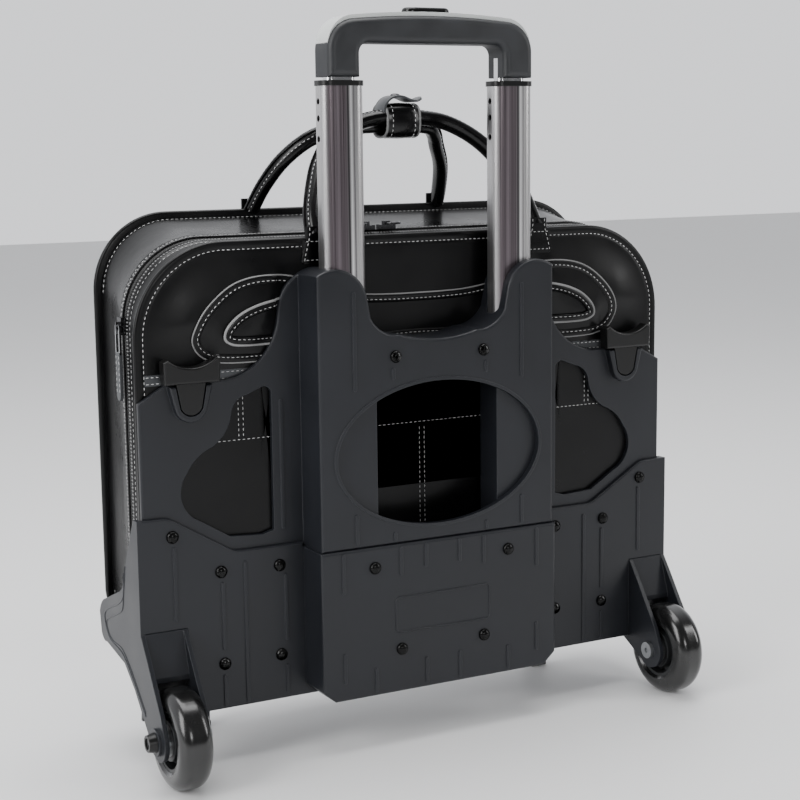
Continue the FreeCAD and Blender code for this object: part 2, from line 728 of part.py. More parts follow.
for side, sign in sides.items():
    x = "(%sleg_x)" % sign
    foot_y = "(panel_y + leg_y)"
    leg = prism("leg", "XZ_Plane", foot_y + " - leg_deep / 2", foot_y + " + leg_deep / 2", [
        (x + " - leg_wide / 2 + 3", "pad_tall"), (x + " + leg_wide / 2 - 3", "pad_tall"),
        (x + " + leg_wide / 2", "shelf_top - shelf_thick - 4"),
        (x + " + leg_wide / 2 + 6", "shelf_top - shelf_thick"),
        (x + " - leg_wide / 2 - 6", "shelf_top - shelf_thick"),
        (x + " - leg_wide / 2", "shelf_top - shelf_thick - 4")])
    hollow = block(x + " - leg_wide / 2 + 6", x + " + leg_wide / 2 - 6",
                   foot_y + " - leg_deep / 2 - 1", foot_y + " + leg_deep / 2 - 3", "pad_tall + 4",
                   "shelf_top - shelf_thick - 8")
    lip = block("-" + side_in, side_in, "panel_y + shelf_deep - 4.3", "panel_y + shelf_deep + 40",
                "shelf_top - 14.3", "shelf_top")
    keep(cut("stand_leg_" + side, leg, hollow, lip))
    keep(block(x + " - leg_wide / 2 + 2", x + " + leg_wide / 2 - 2", foot_y + " - leg_deep / 2 + 0.5",
               foot_y + " + leg_deep / 2 - 0.5", "0", "pad_tall", label="foot_pad_" + side))

# ---------------------------------------------------------------- wheels on bearings

tyre_half = "(wheel_wide / 2)"
crown = "(%s - crown_flat)" % tyre_half
tyre_profile = [
    ("0 - %s + 2" % tyre_half, "tyre_bed"), ("%s - 2" % tyre_half, "tyre_bed"),
    (tyre_half, "tyre_bed + 2"), (tyre_half, "wheel_radius - " + crown, crown),
    ("crown_flat", "wheel_radius"), ("0 - crown_flat", "wheel_radius", crown),
    ("0 - " + tyre_half, "wheel_radius - " + crown), ("0 - " + tyre_half, "tyre_bed + 2"),
]


def wheel(side, sign):
    place = ("%swheel_x" % sign, axle_y, "wheel_radius")
    keep(turned("tyre_" + side, *place, tyre_profile))
    step = "(wheel_wide / 2 - 2.2)"
    web = [
        ("0 - %s" % step, "bearing_radius"), (step, "bearing_radius"),
        (step, "bearing_radius + 3.4"), ("3.4", "bearing_radius + 4.6"),
        ("3.4", "tyre_bed - 3.4"), (step, "tyre_bed - 2.2"), (step, "tyre_bed"),
        ("0 - %s" % step, "tyre_bed"), ("0 - %s" % step, "tyre_bed - 2.2"),
        ("0 - 3.4", "tyre_bed - 3.4"), ("0 - 3.4", "bearing_radius + 4.6"),
        ("0 - %s" % step, "bearing_radius + 3.4")]
    hub = turned("hub blank", *place, web)
    vents = []
    for turn in range(6):
        angle = 60 * turn + 30
        vents.append(rod("X", "2.1", "20", "%swheel_x - 10" % sign,
                         "%s + (tyre_bed + bearing_radius + 1.2) / 2 * cos(%d)" % (axle_y, angle),
                         "wheel_radius + (tyre_bed + bearing_radius + 1.2) / 2 * sin(%d)" % angle))
    keep(cut("wheel_hub_" + side, hub, *vents))
    races = []
    for end in ("-", ""):
        start = "%swheel_x %s (%s - bearing_wide / 2) - bearing_wide / 2" % (
            sign, "-" if end else "+", step)
        ring = rod("X", "bearing_radius", "bearing_wide", start, *place[1:])
        bore = rod("X", "axle_radius + run_gap", "bearing_wide + 2", start + " - 1", *place[1:])
        races.append(cut("race", ring, bore))
    keep(group("wheel_bearings_" + side, *races))
    return place


axles = []
nuts = []
spacers = []
for side, sign in sides.items():
    place = wheel(side, sign)
    inner = "%s - wall" % cheek_in
    outer = "%s + 2.4" % skirt_half
    if sign == "":
        shank = rod("X", "axle_radius", "%s - (%s) + 4" % (outer, inner), inner, *place[1:])
        head = rod("X", "nut_radius - 0.6", "3", inner + " - 3", *place[1:])
        nut = cone("X", "nut_radius", "nut_radius - 1.2", "nut_thick", outer, *place[1:])
        bore = rod("X", "axle_radius", "nut_thick + 2", outer + " - 1", *place[1:])
        socket = rod("X", "2", "2", inner + " - 3", *place[1:])
    else:
        shank = rod("X", "axle_radius", "%s - (%s) + 4" % (outer, inner),
                    "-(%s) - 4" % outer, *place[1:])
        head = rod("X", "nut_radius - 0.6", "3", "-(%s)" % inner, *place[1:])
        nut = cone("X", "nut_radius - 1.2", "nut_radius", "nut_thick", "-(%s) - nut_thick" % outer,
                   *place[1:])
        bore = rod("X", "axle_radius", "nut_thick + 2", "-(%s) - nut_thick - 1" % outer, *place[1:])
        socket = rod("X", "2", "2", "1 - (%s)" % inner, *place[1:])
    axles.append(cut("axle", fuse("axle blank", shank, head), socket))
    nuts.append(cut("nut", nut, bore))
    for low, high in ((cheek_in + " + 0.02", "wheel_x - wheel_wide / 2 + 2.2 - 0.08"),
                      ("wheel_x + wheel_wide / 2 - 2.2 + 0.08", side_in + " - 0.02")):
        start = low if sign == "" else "-(%s)" % high
        ring = rod("X", "axle_radius + 2.2", "(%s) - (%s)" % (high, low), start, *place[1:])
        hole = rod("X", "axle_radius + 0.02", "30", start + " - 10", *place[1:])
        spacers.append(cut("spacer", ring, hole))
keep(group("axle_bolts", *axles))
keep(group("axle_nuts", *nuts))
keep(group("axle_spacers", *spacers))

# ---------------------------------------------------------------- grip and release button

grip_outer = [
    ("grip_half", "grip_foot"), ("grip_half", "grip_top - grip_crown", "grip_arch"),
    ("0 - grip_half", "grip_top - grip_crown"),
    ("0 - grip_half", "grip_foot"), ("grip_leg - grip_half", "grip_foot"),
    ("grip_leg - grip_half", "grip_top - grip_bar"),
    ("grip_half - grip_leg", "grip_top - grip_bar"), ("grip_half - grip_leg", "grip_foot"),
]
trim_line = [
    ("grip_half - 0.4", "grip_top - 30"),
    ("grip_half - 0.4", "grip_top - grip_crown + trim_thick", "grip_arch"),
    ("0.4 - grip_half", "grip_top - grip_crown + trim_thick"),
    ("0.4 - grip_half", "grip_top - 30"),
]


def near(x_text, z_text):
    # picks edges along Y at this distance either side of the middle, at this height
    x, z = number(x_text), number(z_text)
    return lambda edge: (along("Y")(edge) and abs(abs(edge.BoundBox.XMin) - x) < 0.01
                         and abs(edge.BoundBox.ZMin - z) < 0.01)


def grip_blank(label, half_deep, line, shoulder):
    blank = prism(label, "XZ_Plane", "%s - %s" % (tube_y, half_deep), "%s + %s" % (tube_y, half_deep),
                  line)
    return soften(blank, "grip_shoulder", near(line[0][0], shoulder))


button_slot = "(button_half + 0.4)"


def capsule(label, half, deep, low, high):
    body = prism(label, "XY_Plane", low, high, [
        ("0 - (%s)" % half, "%s - (%s) / 2" % (tube_y, deep)), (half, "%s - (%s) / 2" % (tube_y, deep)),
        (half, "%s + (%s) / 2" % (tube_y, deep)), ("0 - (%s)" % half, "%s + (%s) / 2" % (tube_y, deep))])
    return soften(body, "(%s) / 2 - 0.2" % deep, along("Z"))


body = grip_blank("grip skin", "grip_deep / 2", grip_outer, "grip_top - grip_crown")
soften(body, "7", near("grip_half - grip_leg", "grip_top - grip_bar"))
soften(body, "5", lies("Y", tube_y + " - grip_deep / 2"))
soften(body, "5", lies("Y", tube_y + " + grip_deep / 2"))
trim = grip_blank("trim skin", "(grip_deep / 2 - 4)", trim_line,
                  "grip_top - grip_crown + trim_thick")
under = grip_blank("trim under", "grip_deep", grip_outer[:4], "grip_top - grip_crown")
well = capsule("button well", button_slot, "button_deep + 0.8", "grip_top - 11", "grip_top + 9")
channel = block("0 - tube_x - 4", "tube_x + 4", tube_y + " - 2.2", tube_y + " + 2.2",
                "grip_top - 15", "grip_top - 8")
drops = [rod("Z", "2.2", "grip_top - 8 - grip_foot - 10", "%stube_x" % sign, tube_y,
             "grip_foot + 10") for sign in sides.values()]
stage_holes = [stage_bar("leg socket", "grip_foot - 1", "grip_foot + 14", "(%stube_x)" % sign, "0.02")
               for sign in sides.values()]
keep(cut("grip_body", body, well, channel, *(drops + stage_holes)))
keep(cut("grip_trim", trim, under, well))

button = capsule("button cap", "button_half", "button_deep", "grip_top - 3",
                 "grip_top + trim_thick + button_rise")
soften(button, "2.6", lies("Z", "grip_top + trim_thick + button_rise"))
keep(button)
button.Label = "release_button"
stem = rod("Z", "1.8", "6", "0", tube_y, "grip_top - 9")
link_rods = [rod("Z", "1.5", "grip_top - 8.6 - stage_foot - 2", "%stube_x" % sign, tube_y,
                 "stage_foot + 2") for sign in sides.values()]
bar = block("0 - tube_x - 2.5", "tube_x + 2.5", tube_y + " - 1.8", tube_y + " + 1.8",
            "grip_top - 9.8", "grip_top - 8.2")
keep(fuse("release_linkage", bar, stem, *link_rods))

# ---------------------------------------------------------------- latches that hold the bag

for side, sign in sides.items():
    x = "(%slatch_x)" % sign
    cap_line = [
        ("0 - latch_half", "0.4"), ("latch_half", "0.4"), ("latch_half + 0.6", "latch_tall - 1"),
        ("latch_half - 2.5", "latch_tall", "0 - 27"), ("3 - latch_half", "latch_tall"),
        ("0 - latch_half - 0.4", "latch_tall - 1.6"),
    ]
    cap = prism("cap", "XZ_Plane", "panel_y - latch_deep", "panel_y - 0.5",
                moved(cap_line, x, latch_z))
    soften(cap, "1.5", lies("Y", "panel_y - latch_deep"))
    tooth = block(x + " - 10", x + " + 10", "panel_y - 1", "panel_y + plate - 0.4",
                  "wing_top + 1", "wing_top + 8")
    keep(fuse("latch_cap_" + side, cap, tooth))
    face_line = [
        ("0 - 10.6", "0.4"), ("0 - 7.4", "0 - 16.5", "8"), ("7.4", "0 - 16.5"), ("10.6", "0.4"),
    ]
    face_y = "panel_y - shield_out + 0.4"
    face = prism("slider", "XZ_Plane", face_y, face_y + " + slider_thick",
                 moved(face_line, x, latch_z))
    lug = block(x + " - 2.2", x + " + 2.2", face_y + " + slider_thick", "panel_y - 0.4",
                "wing_top - 10", "wing_top - 8")
    keep(fuse("latch_slider_" + side, face, lug))

# ---------------------------------------------------------------- the bag

bag_front = "(%s + bag_deep)" % bag_back


def bag_line(half, low, high, corner, foot):
    # a panel outline: square sides, large top corners, small bottom corners
    return [
        ("(%s) - (%s)" % (half, foot), low, foot), (half, "%s + %s" % (low, foot)),
        (half, "%s - (%s)" % (high, corner), corner), ("(%s) - (%s)" % (half, corner), high),
        ("(%s) - (%s)" % (corner, half), high, corner), ("0 - (%s)" % half, "%s - (%s)" % (high, corner)),
        ("0 - (%s)" % half, "%s + %s" % (low, foot), foot), ("(%s) - (%s)" % (foot, half), low),
    ]


def bag_slab(label, low, high, tall, corner, into="0"):
    # a flat panel of the bag; into is how far its edge lies inside the bag's outline
    line = bag_line("%s - (%s)" % (wing_half, into), "%s + (%s)" % (bag_foot, into),
                    "(%s + %s - (%s))" % (bag_foot, tall, into), "(%s - (%s))" % (corner, into),
                    "(foot_corner - (%s))" % into)
    return prism(label, "XZ_Plane", low, high, line)


def section(at, into):
    # the bag's outline at a share of the way from the rear panel to the front one
    tall = "(rear_tall + (front_tall - rear_tall) * %s)" % at
    corner = "(rear_corner + (front_corner - rear_corner) * %s)" % at
    sketch = doc.addObject("Sketcher::SketchObject", "Section")
    sketch.Placement = Placement(Vector(), Rotation(Vector(1, 0, 0), 90))
    bind(sketch, Placement__Base__y="%s + hide + (bag_deep - 2 * hide) * %s" % (bag_back, at))
    outline(sketch, bag_line("%s - (%s)" % (wing_half, into), "(%s + (%s))" % (bag_foot, into),
                             "(%s + %s - (%s))" % (bag_foot, tall, into),
                             "(%s - (%s))" % (corner, into), "(foot_corner - (%s))" % into))
    doc.recompute()
    return sketch


def skin_between(label, start, stop, into):
    loft = doc.addObject("Part::Loft", "Loft")
    loft.Label = label
    loft.Sections = [section(start, into), section(stop, into)]
    loft.Solid = True
    loft.Ruled = True
    doc.recompute()
    return loft


def band(label, start, stop, raised="0"):
    # a strip of the gusset that runs all round between two shares of its depth
    outer = skin_between(label + " skin", start, stop, "gusset_in - (%s)" % raised)
    inner = skin_between(label + " hollow", start, stop, "gusset_in + gusset_wall")
    return keep(cut(label, outer, inner))


clear_deep = "(bag_deep - 2 * hide)"
zip_low = "((zip_start - hide) / %s)" % clear_deep
zip_high = "((zip_start + zip_wide - hide) / %s)" % clear_deep
keep(bag_slab("rear_panel", bag_back, bag_back + " + hide", "rear_tall", "rear_corner"))
keep(bag_slab("front_panel", bag_front + " - hide", bag_front, "front_tall", "front_corner"))
band("gusset_rear", "0", zip_low)
band("main_zip", zip_low, zip_high, "zip_raise")
band("gusset_front", zip_high, "1")

inside_low = "(%s + gusset_in + gusset_wall + soft_gap)" % bag_foot
inside_half = "(%s - gusset_in - gusset_wall - soft_gap)" % wing_half
keep(block("foot_corner - " + inside_half, inside_half + " - foot_corner",
           bag_back + " + hide + soft_gap", bag_front + " - hide - soft_gap",
           inside_low, inside_low + " + board", label="base_board"))
keep(block("0 - 170", "170", bag_back + " + hide + soft_gap",
           bag_back + " + hide + soft_gap + sleeve", inside_low + " + board + soft_gap",
           bag_foot + " + rear_tall - 72", label="laptop_sleeve"))
keep(block("0 - 165", "165", bag_front + " - hide - soft_gap - sleeve",
           bag_front + " - hide - soft_gap", inside_low + " + board + soft_gap",
           bag_foot + " + rear_tall - 90", label="organiser_panel"))

# carry handles lean together and meet in the wrap
middle_y = "((%s + %s) / 2)" % (bag_back, bag_front)


# the loops' lines: share of the half span from the middle, and share of the rise
rear_shape = [(-1, -0.12), (-0.998, 0.03), (-0.974, 0.2), (-0.892, 0.43), (-0.795, 0.62), (-0.62, 0.82),
              (-0.336, 0.955), (0, 1), (0.2, 0.985), (0.395, 0.95), (0.584, 0.85),
              (0.736, 0.71), (0.87, 0.5), (0.957, 0.3), (0.99, 0.1), (1, -0.12)]
front_shape = [(-1, -0.18), (-0.99, 0.05), (-0.93, 0.31), (-0.796, 0.62), (-0.55, 0.88),
               (-0.18, 0.985), (0.2, 1), (0.58, 0.985), (0.704, 0.88), (0.771, 0.74),
               (0.868, 0.55), (0.927, 0.38), (0.98, 0.14), (1, -0.18)]


def carry_handle(name, shape, base_y, tall, top_y, top_z):
    # a round-sectioned leather loop from the bag's top edge, leaning to the middle
    low = Vector(number(name + "_mid"), number(base_y),
                 number("%s + %s + soft_gap" % (bag_foot, tall)))
    high = Vector(low.x, number(top_y), number(top_z))
    half = Vector(number(name + "_reach"), 0, 0)
    spots = [low + (high - low) * lift + half * share for share, lift in shape]
    curve = Part.BSplineCurve()
    curve.interpolate(spots)
    ring = Part.Circle(spots[0], Vector(0, 0, 1), number("loop_radius"))
    loop = Part.BRepOffsetAPI.MakePipeShell(Part.Wire([curve.toShape()]))
    loop.add(Part.Wire([ring.toShape()]))
    loop.build()
    loop.makeSolid()
    item = doc.addObject("Part::Feature", "Loop")
    item.Shape = loop.shape()
    foot = "(%s + %s + soft_gap)" % (bag_foot, tall)
    under = block("0 - 150", "150", "panel_y - 20", "panel_y + 140", foot + " - 40", foot,
                  "under the loop")
    return keep(cut("carry_handle_" + name, item, under))


carry_handle("rear", rear_shape, "%s + hide / 2" % bag_back, "rear_tall",
             middle_y + " - loop_apart / 2", "loop_top")
carry_handle("front", front_shape, "%s - hide / 2" % bag_front, "front_tall",
             middle_y + " + loop_apart / 2", "loop_top - loop_drop")


def wrap_block(label, grow, ends):
    # the space round both loops at their top
    return block("wrap_x - wrap_long / 2 - %s" % ends, "wrap_x + wrap_long / 2 + %s" % ends,
                 "%s - loop_apart / 2 - loop_radius - (%s)" % (middle_y, grow),
                 "%s + loop_apart / 2 + loop_radius + (%s)" % (middle_y, grow),
                 "loop_top - loop_drop - loop_radius - 3.5 - (%s)" % grow,
                 "loop_top + loop_radius + (%s)" % grow, label)


keep(cut("handle_wrap", wrap_block("wrap skin", "1.6 + strap", "0"),
         wrap_block("wrap bore", "1.6", "2")))

tabs = []
for x in ("rear_mid - rear_reach", "rear_mid + rear_reach"):
    tabs.append(block(x + " - tab_wide / 2", x + " + tab_wide / 2", bag_back + " - tab_thick",
                      bag_back, bag_foot + " + rear_tall - tab_rear", bag_foot + " + rear_tall"))
for x in ("front_mid - front_reach", "front_mid + front_reach"):
    tabs.append(block(x + " - tab_wide / 2", x + " + tab_wide / 2", bag_front,
                      bag_front + " + tab_thick", bag_foot + " + front_tall - tab_front",
                      bag_foot + " + front_tall"))
keep(group("handle_tabs", *tabs))

# ---------------------------------------------------------------- zip sliders and pulls

zip_y = "(%s + zip_start + zip_wide / 2)" % bag_back
zip_top = ("(%s + rear_tall + (front_tall - rear_tall) * %s - gusset_in + zip_raise + run_clear)"
           % (bag_foot, zip_high))
zip_side = "(%s - gusset_in + zip_raise + run_clear)" % wing_half


def top_slider(name, x, away):
    # a slider on the top run of the zip, with a ring pull that lies away from its partner
    body = block(x + " - slider_long / 2", x + " + slider_long / 2", zip_y + " - slider_wide / 2",
                 zip_y + " + slider_wide / 2", zip_top, zip_top + " + slider_tall")
    bail = block(x + " - 3", x + " + 3", zip_y + " - 1", zip_y + " + 1", zip_top + " + slider_tall - 0.1",
                 zip_top + " + slider_tall + 2.6")
    eye = rod("Y", "1.1", "6", x, zip_y + " - 3", zip_top + " + slider_tall + 0.9")
    keep(cut("zip_slider_" + name, fuse("slider blank", body, bail), eye))
    ring = doc.addObject("Part::Torus", "Ring")
    bind(ring, Radius1="ring_radius", Radius2="0.8", Placement__Base__x="%s %s ring_radius" % (x, away),
         Placement__Base__y=zip_y, Placement__Base__z=zip_top + " + slider_tall + 0.9")
    ring.Label = "zip_ring_" + name
    doc.recompute()
    keep(ring)


top_slider("left", "slider_left_x", "-")
top_slider("right", "slider_right_x", "+")

side_x = "(0 - %s)" % zip_side
body = block(side_x + " - slider_tall", side_x, zip_y + " - slider_wide / 2",
             zip_y + " + slider_wide / 2", "side_slider_z - slider_long / 2",
             "side_slider_z + slider_long / 2")
bail = block(side_x + " - slider_tall - 2.6", side_x + " - slider_tall + 0.1", zip_y + " - 1",
             zip_y + " + 1", "side_slider_z - 3", "side_slider_z + 3")
eye = rod("Y", "1.1", "6", side_x + " - slider_tall - 0.9", zip_y + " - 3", "side_slider_z")
keep(cut("side_zip_slider", fuse("slider blank", body, bail), eye))
link_x = side_x + " - slider_tall - 0.9"
pin = rod("Y", "0.8", "7", link_x, zip_y + " - 3.5", "side_slider_z")
arms = [block(link_x + " - 0.8", link_x + " + 0.8", "%s %s 3.5 - 0.7" % (zip_y, way),
              "%s %s 3.5 + 0.7" % (zip_y, way), "side_slider_z - link_long", "side_slider_z + 0.3")
        for way in ("-", "+")]
foot = block(link_x + " - 0.8", link_x + " + 0.8", zip_y + " - 4.2", zip_y + " + 4.2",
             "side_slider_z - link_long - 1.6", "side_slider_z - link_long + 0.1")
keep(fuse("side_pull_link", pin, foot, *arms))
keep(block(link_x + " - 1.2", link_x + " + 1.2", zip_y + " - 4", zip_y + " + 4",
           "side_slider_z - link_long - 1.6 - tab_long", "side_slider_z - link_long - 1.6",
           "side_pull_tab"))

# ---------------------------------------------------------------- check and write

doc.recompute()
failed = [item.Label for item in doc.Objects
          if any(word in item.State for word in ("Invalid", "Error"))]
failed += [item.Label for item in nodes if item.Shape.isNull() or not item.Shape.isValid()]
if failed:
    raise SystemExit("failed: " + ", ".join(failed))
os.makedirs("parts", exist_ok=True)
for item in nodes:
    item.Shape.exportStep("parts/%s.step" % item.Label)
print("wrote %d parts" % len(nodes))
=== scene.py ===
import json
import math

import bmesh
import bpy
from mathutils import Matrix, Vector, noise


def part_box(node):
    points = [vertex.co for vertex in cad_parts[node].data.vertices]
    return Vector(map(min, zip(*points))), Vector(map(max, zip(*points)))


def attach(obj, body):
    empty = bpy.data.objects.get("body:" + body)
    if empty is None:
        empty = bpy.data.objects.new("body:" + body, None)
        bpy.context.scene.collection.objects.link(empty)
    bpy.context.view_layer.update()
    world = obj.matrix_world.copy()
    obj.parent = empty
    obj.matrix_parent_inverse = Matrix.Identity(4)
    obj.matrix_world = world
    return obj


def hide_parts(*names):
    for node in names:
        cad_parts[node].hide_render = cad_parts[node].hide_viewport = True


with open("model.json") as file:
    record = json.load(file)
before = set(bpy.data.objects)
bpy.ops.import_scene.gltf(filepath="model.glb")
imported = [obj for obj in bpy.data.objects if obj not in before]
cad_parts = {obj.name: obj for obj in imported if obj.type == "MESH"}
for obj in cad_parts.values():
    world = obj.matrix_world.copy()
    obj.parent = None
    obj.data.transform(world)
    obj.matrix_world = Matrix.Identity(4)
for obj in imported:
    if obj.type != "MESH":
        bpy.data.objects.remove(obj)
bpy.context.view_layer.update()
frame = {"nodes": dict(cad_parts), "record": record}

scene = bpy.context.scene
nodes = frame["nodes"]
mm = 0.001
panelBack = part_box("back_panel")[1].y - 3.6 * mm  # rear face of the frame's wing plate
print("frame loaded:", len(nodes), "nodes")


# camera: the place and direction that show the rear and the left side of the case

view = {"lens": 75.78, "sensor": 36, "place": (-588.7, -1067.24, 437.38), "yaw": 28.201,
        "down": 8.917, "roll": -0.685}


def placeCamera():
    yaw, down, roll = (math.radians(view[word]) for word in ("yaw", "down", "roll"))
    level = Vector((math.sin(yaw), math.cos(yaw), 0))
    ahead = level * math.cos(down) - Vector((0, 0, math.sin(down)))
    across = Vector((math.cos(yaw), -math.sin(yaw), 0))
    up = across.cross(ahead)
    right = across * math.cos(roll) + up * math.sin(roll)
    top = up * math.cos(roll) - across * math.sin(roll)
    data = bpy.data.cameras.new("camera")
    data.lens = view["lens"]
    data.sensor_width = view["sensor"]
    camera = bpy.data.objects.new("camera", data)
    turn = Matrix((right, top, -ahead)).transposed().to_4x4()
    place = Vector(view["place"]) * mm + Vector((0, panelBack, 0))
    camera.matrix_world = Matrix.Translation(place) @ turn
    scene.collection.objects.link(camera)
    scene.camera = camera


placeCamera()


# light and floor

def addLight(name, place, target, size, power):
    data = bpy.data.lights.new(name, "AREA")
    data.shape = "RECTANGLE"
    data.size, data.size_y = size
    data.energy = power
    lamp = bpy.data.objects.new(name, data)
    lamp.location = place
    lamp.rotation_euler = (Vector(target) - Vector(place)).to_track_quat("-Z", "Y").to_euler()
    scene.collection.objects.link(lamp)


# each lamp's place, the place it points at, its size and its power
lamps = {
    "softLeft": ((-1.9, -0.5, 1.2), (0, 0, 0.25), (0.9, 1.6), 34),
    "softRight": ((1.8, -1.2, 1.1), (0, 0, 0.25), (0.5, 1.4), 16),
    "softTop": ((0.0, 0.2, 2.0), (0, 0, 0.3), (1.6, 1.4), 34),
    "frontFill": ((-0.2, -2.4, 0.9), (0, 0, 0.25), (0.5, 0.5), 9),
}
for lampName, setting in lamps.items():
    addLight(lampName, *setting)

backdrop = {"dimAt": -0.25, "brightAt": 0.35, "dim": 0.16, "bright": 1.25,
            "tint": (0.96, 0.97, 1.0, 1)}


def hangBackdrop():
    # bright behind the case and dim in front of it, so that the leather stays black
    world = bpy.data.worlds.new("studio")
    world.use_nodes = True
    tree = world.node_tree
    place = tree.nodes.new("ShaderNodeTexCoord")
    parts = tree.nodes.new("ShaderNodeSeparateXYZ")
    spread = tree.nodes.new("ShaderNodeMapRange")
    for index, word in enumerate(("dimAt", "brightAt", "dim", "bright"), 1):
        spread.inputs[index].default_value = backdrop[word]
    tree.links.new(place.outputs["Generated"], parts.inputs[0])
    tree.links.new(parts.outputs["Y"], spread.inputs[0])
    tree.links.new(spread.outputs[0], tree.nodes["Background"].inputs["Strength"])
    tree.nodes["Background"].inputs["Color"].default_value = backdrop["tint"]
    scene.world = world


hangBackdrop()


# shader helpers

class Value:
    # a shader socket that can be used in sums
    def __init__(self, finish, socket):
        self.finish = finish
        self.socket = socket

    def sum(self, operation, first, second):
        return self.finish.node("ShaderNodeMath", {"operation": operation}, {0: first, 1: second})

    def __sub__(self, other):
        return self.sum("SUBTRACT", self, other)

    def __rsub__(self, other):
        return self.sum("SUBTRACT", other, self)

    def __mul__(self, other):
        return self.sum("MULTIPLY", self, other)

    __rmul__ = __mul__


class Finish:
    # one material and the nodes that make it
    def __init__(self, name, **constants):
        self.material = bpy.data.materials.new(name)
        self.material.use_nodes = True
        self.tree = self.material.node_tree
        self.shader = self.tree.nodes["Principled BSDF"]
        self.place = self.node("ShaderNodeTexCoord", output=3)
        for word, number in constants.items():
            self.shader.inputs[word.replace("_", " ")].default_value = number

    def node(self, kind, settings=None, inputs=None, output=0):
        made = self.tree.nodes.new(kind)
        for word, setting in (settings or {}).items():
            setattr(made, word, setting)
        for word, given in (inputs or {}).items():
            self.feed(made.inputs[word], given)
        return Value(self, made.outputs[output])

    def feed(self, socket, given):
        if isinstance(given, Value):
            self.tree.links.new(given.socket, socket)
        else:
            socket.default_value = given

    def noise(self, scale, detail=3, place=None):
        inputs = {"Vector": place or self.place, "Scale": scale, "Detail": detail}
        return self.node("ShaderNodeTexNoise", None, inputs)

    def cells(self, scale):
        return self.node("ShaderNodeTexVoronoi", None, {"Vector": self.place, "Scale": scale})

    def stretched(self, scale):
        return self.node("ShaderNodeMapping", None, {"Vector": self.place, "Scale": scale})

    def spread(self, value, low, high, outLow, outHigh):
        return self.node("ShaderNodeMapRange", {"clamp": True}, {
            0: value, 1: low, 2: high, 3: outLow, 4: outHigh})

    def mix(self, share, first, second):
        return self.node("ShaderNodeMix", {"data_type": "RGBA"}, {0: share, 6: first, 7: second}, 2)

    def along(self, axis):
        return self.node("ShaderNodeSeparateXYZ", None, {0: self.place}, axis)

    def eased(self, radius):
        # edges that catch the light as if they were rounded
        return self.node("ShaderNodeBevel", {"samples": 4}, {"Radius": radius})

    def edges(self, rounded):
        # 1 where the rounded normal leaves the flat one, 0 on open faces; it places the painted
        # edge highlight
        flat = self.node("ShaderNodeNewGeometry", output=1)
        same = self.node("ShaderNodeVectorMath", {"operation": "DOT_PRODUCT"},
                         {0: rounded, 1: flat}, 1)
        return self.spread(same, 0.995, 0.86, 0, 1)

    def bump(self, height, strength, distance, normal=None):
        inputs = {"Height": height, "Strength": strength, "Distance": distance}
        if normal is not None:
            inputs["Normal"] = normal
        return self.node("ShaderNodeBump", None, inputs)

    def wear(self, colour=None, roughness=None, metallic=None, normal=None):
        # what changes over the surface
        for word, given in (("Base Color", colour), ("Roughness", roughness),
                            ("Metallic", metallic), ("Normal", normal)):
            if given is not None:
                self.feed(self.shader.inputs[word], given)
        return self.material


def grey(level, blue=0.0):
    return (level, level * (1 + blue * 0.45), level * (1 + blue), 1)


def moulding(name, tint, shine, edge=0.9 * mm, grain=0.10):
    # satin moulded plastic with a fine spark-eroded grain, and a painted highlight along its edges
    finish = Finish(name, Specular_IOR_Level=0.36)
    broad = finish.noise(14, 4)
    fine = finish.noise(1500, 2)
    pale = tuple(min(1, part * 1.35) for part in tint[:3]) + (1,)
    rounded = finish.eased(edge)
    # rim: a pale colour painted on the edges, a painted edge highlight
    rim = tuple(min(1, part * 2.6 + 0.012) for part in tint[:3]) + (1,)
    colour = finish.mix(finish.spread(broad, 0.35, 0.7, 0, 1), tint, pale)
    # the painted edge highlight is mixed in where the rounded normal leaves the flat one
    colour = finish.mix(finish.edges(rounded) * 0.8, colour, rim)
    roughness = finish.spread(broad, 0.3, 0.7, shine - 0.05, shine + 0.06)
    normal = finish.bump(fine, grain, 0.25 * mm, rounded)
    return finish.wear(colour, roughness, None, normal)


def hideLeather(name, tint, shine, coat=0.35, crease=0.18):
    # smooth dressed leather: pores, faint creases and a polished coat
    finish = Finish(name, Coat_Weight=coat, Coat_Roughness=0.1, Specular_IOR_Level=0.22)
    pores = finish.cells(1400)
    folds = finish.noise(55, 6)
    soft = finish.noise(11, 3)
    pale = tuple(part * 1.9 + 0.002 for part in tint[:3]) + (1,)
    colour = finish.mix(finish.spread(soft, 0.45, 0.8, 0, 1), tint, pale)
    roughness = finish.spread(finish.noise(26, 5), 0.3, 0.75, shine - 0.06, shine + 0.12)
    shallow = finish.bump(folds, crease, 1.2 * mm)
    normal = finish.bump(pores, 0.05, 0.15 * mm, shallow)
    return finish.wear(colour, roughness, None, normal)


# bands across a drawn tube: from, to, soft edge in mm, strength and colour; the first is a painted
# sheen, the second a dark line of painted shade in the groove, the third a painted highlight line
# and the last a darker line near the edge
tubeBands = {
    # a painted sheen band on the mauve
    "paintedSheen": (-7.2, -5.0, 1.4, 0.55, (0.36, 0.31, 0.34, 1)),
    # a dark line of painted shade in the groove
    "paintedGrooveShade": (1.4, 3.0, 0.5, 1, (0.05, 0.047, 0.05, 1)),
    # a painted highlight line
    "bright": (3.8, 5.2, 0.5, 1, (0.9, 0.89, 0.9, 1)),
    "edge": (6.2, 7.0, 0.3, 1, (0.2, 0.19, 0.2, 1)),
}


